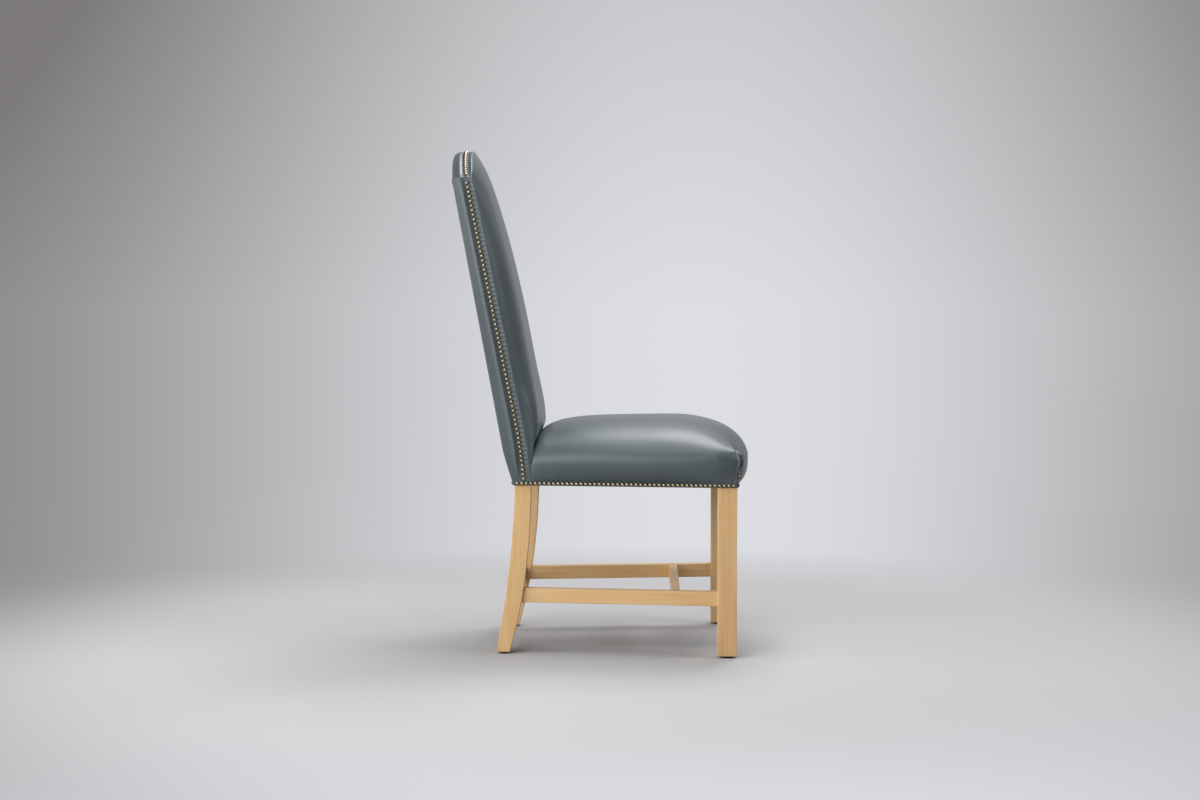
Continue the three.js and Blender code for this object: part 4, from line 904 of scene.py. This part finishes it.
inside = surface("leather_inside_back", inside_surface())
points = maker_points(inside)
held = (np.abs(points[:, 1] - nail_y(points[:, 2])) < 3) | (points[:, 2] < 424)
fill_cover(inside, held, cap=0.002)
dress(inside, "inside_back_cover", "back_foam", fill=0.8, seam=back_seam(points))
print("inside back:", len(inside.data.polygons), "faces before smoothing")

# %% Outside back
def edge_round(nz):
    """Radius of the rear edge: 3 mm down the sides and 17 mm over the arch."""
    return lerp(3, 17, smoothstep(nz, 0.2, 0.95))


def outside_surface():
    """Grid of the outside back: from the nails backwards across the side, round the rear edge as a
    quarter circle, then over the flat rear to a line down the middle. The side swells by the hump."""
    x, z, nx, nz = outline.T
    radius = edge_round(nz)
    start, end = nail_y(z), rear_y(z) - radius
    rings = [stacked(x, lerp(start, end, share), z) for share in np.linspace(0, 1, 18, endpoint=False) ** 1.1]
    for angle in np.radians([0, 22.5, 45, 67.5, 90]):
        inwards = radius * (1 - np.cos(angle))
        edge_z = z - nz * inwards
        rings.append(stacked(x - nx * inwards, rear_y(edge_z) - radius * (1 - np.sin(angle)), edge_z))
    grid = np.stack(rings + rings_inwards(rings[-1][:, [0, 2]], np.linspace(0, 1, 19)[1:] ** 1.5,
                                          lambda x, z: 0))
    swell = puff(x, z, nx, 1.3) * hump(grid[..., 1] - start, 11.5, 5.5)
    swell = swell * (np.abs(grid[..., 1] - rear_y(grid[..., 2])) > 1e-6)  # the flat rear doesn't swell
    return grid + swell[..., None] * stacked(nx, 0, nz)


outside = surface("leather_outside_back", outside_surface())
points = maker_points(outside)
held = (np.abs(points[:, 1] - nail_y(points[:, 2])) < 3) | (points[:, 2] < 366)
from_rear = rear_y(points[:, 2]) - points[:, 1]
fill_cover(outside, held, cap=lerp(0.0002, 0.0012, smoothstep(from_rear, 1, 9)))  # the rear is a taut panel
dress(outside, "outside_back_cover", fill=0.4, seam=back_seam(points))
print("outside back:", len(outside.data.polygons), "faces before smoothing")

# %% [markdown]
# ## Nails
# About 370 domed nails are driven head to head. A dome is repeated so often that it gets only a few
# dozen faces: four rings of ten points. Each row is one mesh. A small array holds the places of its
# nails and the way each one faces, and the dome is carried to all of them at once.

# %% One dome, many places
NAIL_RADIUS, NAIL_HEIGHT = 4.5, 3.1
RINGS, POINTS = 4, 10
DOME = RINGS * POINTS + 1  # points of one dome, the top one last


def nail_row(name, places, facings, node):
    """Domes at the places. Each dome's point is its place, plus its ring's radius along two directions
    across the facing, plus its ring's height along the facing. Returns the number of nails."""
    places, facings = np.asarray(places, float), np.asarray(facings, float)
    facings /= np.linalg.norm(facings, axis=1)[:, None]
    helper = np.where(np.abs(facings[:, 2:3]) < 0.9, np.array([[0, 0, 1.0]]), np.array([[0, 1.0, 0]]))
    across = np.cross(helper, facings)
    across /= np.linalg.norm(across, axis=1)[:, None]
    up = np.cross(facings, across)
    angle = np.linspace(0, 2 * math.pi, POINTS, endpoint=False)
    lift = np.radians([0, 12, 38, 64])
    radius, height = np.cos(lift) * NAIL_RADIUS, np.sin(lift) * NAIL_HEIGHT
    ring = stacked(np.outer(radius, np.cos(angle)), np.outer(radius, np.sin(angle)), height[:, None])
    unit = np.concatenate([ring.reshape(-1, 3), [[0, 0, NAIL_HEIGHT]]])
    points = (places[:, None] + unit[None, :, :1] * across[:, None] + unit[None, :, 1:2] * up[:, None]
              + unit[None, :, 2:] * facings[:, None])
    last = DOME - 1 - POINTS
    one = grid_faces(RINGS, POINTS, closed=True)
    one += [[last + c, last + (c + 1) % POINTS, DOME - 1] for c in range(POINTS)]
    one += [list(range(POINTS))[::-1]]
    faces = [[corner + DOME * n for corner in face] for n in range(len(places)) for face in one]
    piece = mesh_from(name, points.reshape(-1, 3), faces)
    for polygon in piece.data.polygons:
        polygon.use_smooth = len(polygon.vertices) < 5
    store(piece, "dome", np.tile(unit[:, 2] / NAIL_HEIGHT, len(places)))
    piece.data.materials.append(brass)
    settle(piece, "antique_brass", node)
    return len(places)


def along_line(corners, facings):
    """Places a pitch apart along straight stretches, centred on the whole length, each with the facing
    of its stretch."""
    corners, facings = np.asarray(corners, float), np.asarray(facings, float)
    lengths = np.linalg.norm(np.diff(corners, axis=0), axis=1)
    first, count = first_nail(lengths.sum())
    reach = first + np.arange(count) * NAIL_PITCH
    ends = np.concatenate([[0], np.cumsum(lengths)])
    stretch = np.clip(np.searchsorted(ends, reach, side="left") - 1, 0, len(lengths) - 1)
    share = ((reach - ends[stretch]) / lengths[stretch])[:, None]
    return lerp(corners[stretch], corners[stretch + 1], share), facings[stretch]


print("a dome has", RINGS * POINTS + 1, "faces")

# %% Rows of nails
PLEAT_PITCH = 8.3
total = 0
for label, side in SIDES:
    path = [(side * x, y, NAIL_LINE) for x, y in side_row]
    facings = [(side, 0, 0), (side * math.cos(splay), math.sin(splay), 0), (side, 0, 0)]
    total += nail_row(f"brass_nails_seat_{label}", *along_line(path, facings), f"seat_nails_{label}")

    step = NAIL_PITCH * math.cos(RAKE_ANGLE)
    count = int((SHOULDER - NAIL_END - NAIL_LINE - NAIL_PITCH) // step)
    z = NAIL_LINE + NAIL_PITCH + np.arange(count + 1) * step
    total += nail_row(f"brass_nails_back_{label}", stacked(side * BACK_HALF, nail_y(z), z),
                      np.tile([side, 0, 0], (len(z), 1)), f"back_nails_{label}")

    z = NAIL_LINE + NAIL_END + np.arange(1, 4) * PLEAT_PITCH
    out = 1.9 + 0.096 * (z - z[0])  # the corner leans out as it goes up
    reach = (CORNER_ROUND + out) * math.sqrt(0.5)
    places = stacked(side * (CORNER[0] + reach), CORNER[1] - reach, z)
    total += nail_row(f"brass_nails_corner_{label}", places, np.tile([side, -1, -0.12], (3, 1)),
                      f"corner_nails_{label}")

base_y = float(rear_y(NAIL_LINE))
tilt = float(rear_y(NAIL_LINE + 1)) - base_y
for name, node, span, y, facing in (
        ("brass_nails_front", "seat_nails_front", CORNER[0], SEAT_FRONT, (0, -1, 0)),
        ("brass_nails_base", "back_nails_base", BACK_HALF - 3, base_y, (0, 1, -tilt))):
    total += nail_row(name, *along_line([(-span, y, NAIL_LINE), (span, y, NAIL_LINE)], [facing]), node)
count = int(2 * ARCH_ANGLE * ARCH_RADIUS // NAIL_PITCH) - 1
angle = (np.arange(count) - (count - 1) / 2) * NAIL_PITCH / ARCH_RADIUS
z = ARCH_CENTRE + ARCH_RADIUS * np.cos(angle)
total += nail_row("brass_nails_arch", stacked(ARCH_RADIUS * np.sin(angle), nail_y(z), z),
                  stacked(np.sin(angle), 0, np.cos(angle)), "back_nails_arch")
print("nails in all:", total)

# %% [markdown]
# ## What stays of the frame
# The solids that are right as they are keep their shape and get a finish: glides, rails, blocks, screws,
# straps and the dust cover. The beech material reads its vector from the mesh, so the hidden rails use a
# plain sawn beech that reads the same name and finds nothing, which leaves an even colour.

# %% Finishes for the frame's own nodes
finishes = {"glide": nylon, "dust_cover": cambric, "_web_": jute, "screw": zinc, "rail": sawn_beech,
            "block": sawn_beech}
for name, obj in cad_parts.items():
    if obj.hide_render:
        continue
    for word, material in finishes.items():
        if word in name:
            obj.data.materials.clear()
            obj.data.materials.append(material)
            break
    else:
        print("no finish for", name)
print("shown nodes:", sum(not o.hide_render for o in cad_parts.values()))

# %% [markdown]
# ## The room
# The chair stands in a photographer's cove: a pale floor that curves up into a pale wall with no corner.
# Here the cove goes all the way round, so the chair can be looked at from any side. It is a profile
# turned about a vertical axis. Near the chair its paint takes the light and the shadow. Further out it
# glows by itself, but only for rays from the camera and for reflections, so it lights nothing. The glow
# is brightest behind the chair and falls to the sides like a bell curve that widens with distance. For
# light that bounces, the paint is darker than it looks, so the floor throws little light up at the chair.

# %% Cove
cove_profile = np.array([[0, 0], [1500, 0], [3000, 0], [4800, 0], [5400, 40], [6000, 190], [6500, 480],
                         [6900, 900], [7150, 1500], [7250, 2400], [7300, 5200]], float)
turns = np.linspace(0, 2 * math.pi, 64, endpoint=False)
radii, rises = cove_profile.T
cove_grid = stacked(np.outer(radii, np.cos(turns)), np.outer(radii, np.sin(turns)), rises[:, None])
cove = surface("cove", cove_grid, closed=True)
bend = cove.modifiers.new("smooth", "SUBSURF")
bend.levels = bend.render_levels = 2
cove_paint, tree, shader = new_material("painted cove", Roughness=0.85)
place = add_node(tree, "TexCoord", out="Object")
parts = add_node(tree, "SeparateXYZ", {0: place}, None)
ray = add_node(tree, "LightPath", out=None)
mottle = add_node(tree, "TexNoise", {"Vector": place, "Scale": 1.3, "Detail": 4.0})
paint = add_node(tree, "Mix", {0: mottle, 6: "#c1c1c4", 7: "#c8c8ca"}, 2, data_type="RGBA")
bounce = add_node(tree, "Math", {0: ray["Is Diffuse Ray"], 1: 0.5}, operation="MULTIPLY")
paint = add_node(tree, "Mix", {0: bounce, 6: paint, 7: "#303030"}, 2, data_type="RGBA")
set_inputs(tree, shader, {"Base Color": paint})

# %% The cove's glow
behind = add_node(tree, "Math", {0: parts["X"], 1: 0.0}, operation="MAXIMUM")
near = add_node(tree, "MapRange", {"Value": parts["X"], "From Min": -0.7, "From Max": 1.3, "To Min": 1.65,
                                   "To Max": 1.148}, interpolation_type="SMOOTHSTEP")
width = add_node(tree, "Math", {0: behind, 1: 0.2475, 2: near}, operation="MULTIPLY_ADD")
shift = add_node(tree, "Math", {0: behind, 1: 0.031, 2: 0.17}, operation="MULTIPLY_ADD")
across = add_node(tree, "Math", {0: parts["Y"], 1: shift}, operation="ADD")
across = add_node(tree, "Math", {0: across, 1: width}, operation="DIVIDE")
square = add_node(tree, "Math", {0: across, 1: across}, operation="MULTIPLY")
square = add_node(tree, "Math", {0: square, 1: -1.0}, operation="MULTIPLY")
fan = add_node(tree, "Math", {0: square}, operation="EXPONENT")
high = add_node(tree, "MapRange", {"Value": parts["Z"], "From Min": 0.6, "From Max": 2.6, "To Max": 0.3})
fan = add_node(tree, "Math", {0: fan, 1: high}, operation="SUBTRACT")
fan = add_node(tree, "Math", {0: fan, 1: 0.03}, operation="MAXIMUM")
backdrop = add_node(tree, "Mix", {0: fan, 6: "#787574", 7: "#dddee2"}, 2, data_type="RGBA")
glow = add_node(tree, "Emission", {"Color": backdrop})
flat = add_node(tree, "VectorMath", {0: place, 1: (1, 1, 0)}, operation="MULTIPLY")
radius = add_node(tree, "VectorMath", {0: flat}, "Value", operation="LENGTH")
beyond = add_node(tree, "MapRange", {"Value": radius, "From Min": 0.8, "From Max": 1.7},
                  interpolation_type="SMOOTHSTEP")
seen = add_node(tree, "Math", {0: ray["Is Camera Ray"], 1: ray["Is Glossy Ray"]}, operation="MAXIMUM")
beyond = add_node(tree, "Math", {0: beyond, 1: seen}, operation="MULTIPLY")
whole = add_node(tree, "MixShader", {0: beyond, 1: shader.outputs[0], 2: glow})
set_inputs(tree, tree.nodes["Material Output"], {"Surface": whole})
cove.data.materials.append(cove_paint)
print("cove:", len(tree.nodes), "nodes")

# %% [markdown]
# Six soft lamps light the chair, and the sky gives no light. Two large ones stand on the left, a weak
# one over the camera, two overhead, and one fills from the right. A soft lamp is a square that gives
# light all over, and the larger it is, the softer are its shadows and its shine on the leather.

# %% Lamps
CHAIR = (0, 0, 0.5)


def soft_lamp(name, place, size, watts):
    """A square area lamp of a size in metres, turned to face the chair."""
    lamp = bpy.data.lights.new(name, "AREA")
    lamp.shape, lamp.size, lamp.energy = "SQUARE", size, watts
    holder = bpy.data.objects.new(name, lamp)
    holder.location = place
    holder.rotation_euler = (Vector(CHAIR) - Vector(place)).to_track_quat("-Z", "Y").to_euler()
    scene.collection.objects.link(holder)


def dome(azimuth, height, reach=3.1):
    """A place on a dome over the chair. Azimuth 0 is on the camera's side, 90 behind the chair's back."""
    azimuth, height = math.radians(azimuth), math.radians(height)
    return (-math.cos(azimuth) * math.cos(height) * reach, math.sin(azimuth) * math.cos(height) * reach,
            0.5 + math.sin(height) * reach)


soft_lamp("left lamp", dome(70, 10), 2.0, 50)
soft_lamp("front left lamp", dome(27, 22), 2.0, 44)
soft_lamp("camera side lamp", dome(10, 62), 1.2, 14)
soft_lamp("top lamp", (0.1, -0.2, 3.2), 1.6, 26)
soft_lamp("far side top lamp", (1.3, -0.5, 2.9), 1.6, 51)
soft_lamp("right lamp", dome(-75, 35), 1.2, 20)
sky = bpy.data.worlds.new("studio")
sky.use_nodes = True
sky.node_tree.nodes["Background"].inputs["Strength"].default_value = 0.0
scene.world = sky
scene.view_settings.view_transform = "Standard"

# %% [markdown]
# ## The camera
# The photograph was taken from the side, 0.8 m above the floor, through a long lens 4.7 m away. The
# camera's place and slight turns were found by fitting a pinhole camera to the edges of the legs.

# %% Camera
YAW, PITCH = 0.01909, 0.05813  # radians
FOCAL_PIXELS, PHOTO_WIDTH = 2174.34, 1200
forward = Vector((math.cos(YAW) * math.cos(PITCH), math.sin(YAW) * math.cos(PITCH), -math.sin(PITCH)))
right = forward.cross(Vector((0, 0, 1))).normalized()
up = right.cross(forward)
camera_data = bpy.data.cameras.new("camera")
camera_data.sensor_width, camera_data.lens = 36, 36 * FOCAL_PIXELS / PHOTO_WIDTH
camera = bpy.data.objects.new("camera", camera_data)
turned = Matrix((right, up, -forward)).transposed().to_4x4()
camera.matrix_world = Matrix.Translation((-4.7002, 0.197455 + front_plane, 0.79522)) @ turned
scene.collection.objects.link(camera)
scene.camera = camera
print("lens", round(camera_data.lens, 2), "mm, at", [round(v, 3) for v in camera.location])
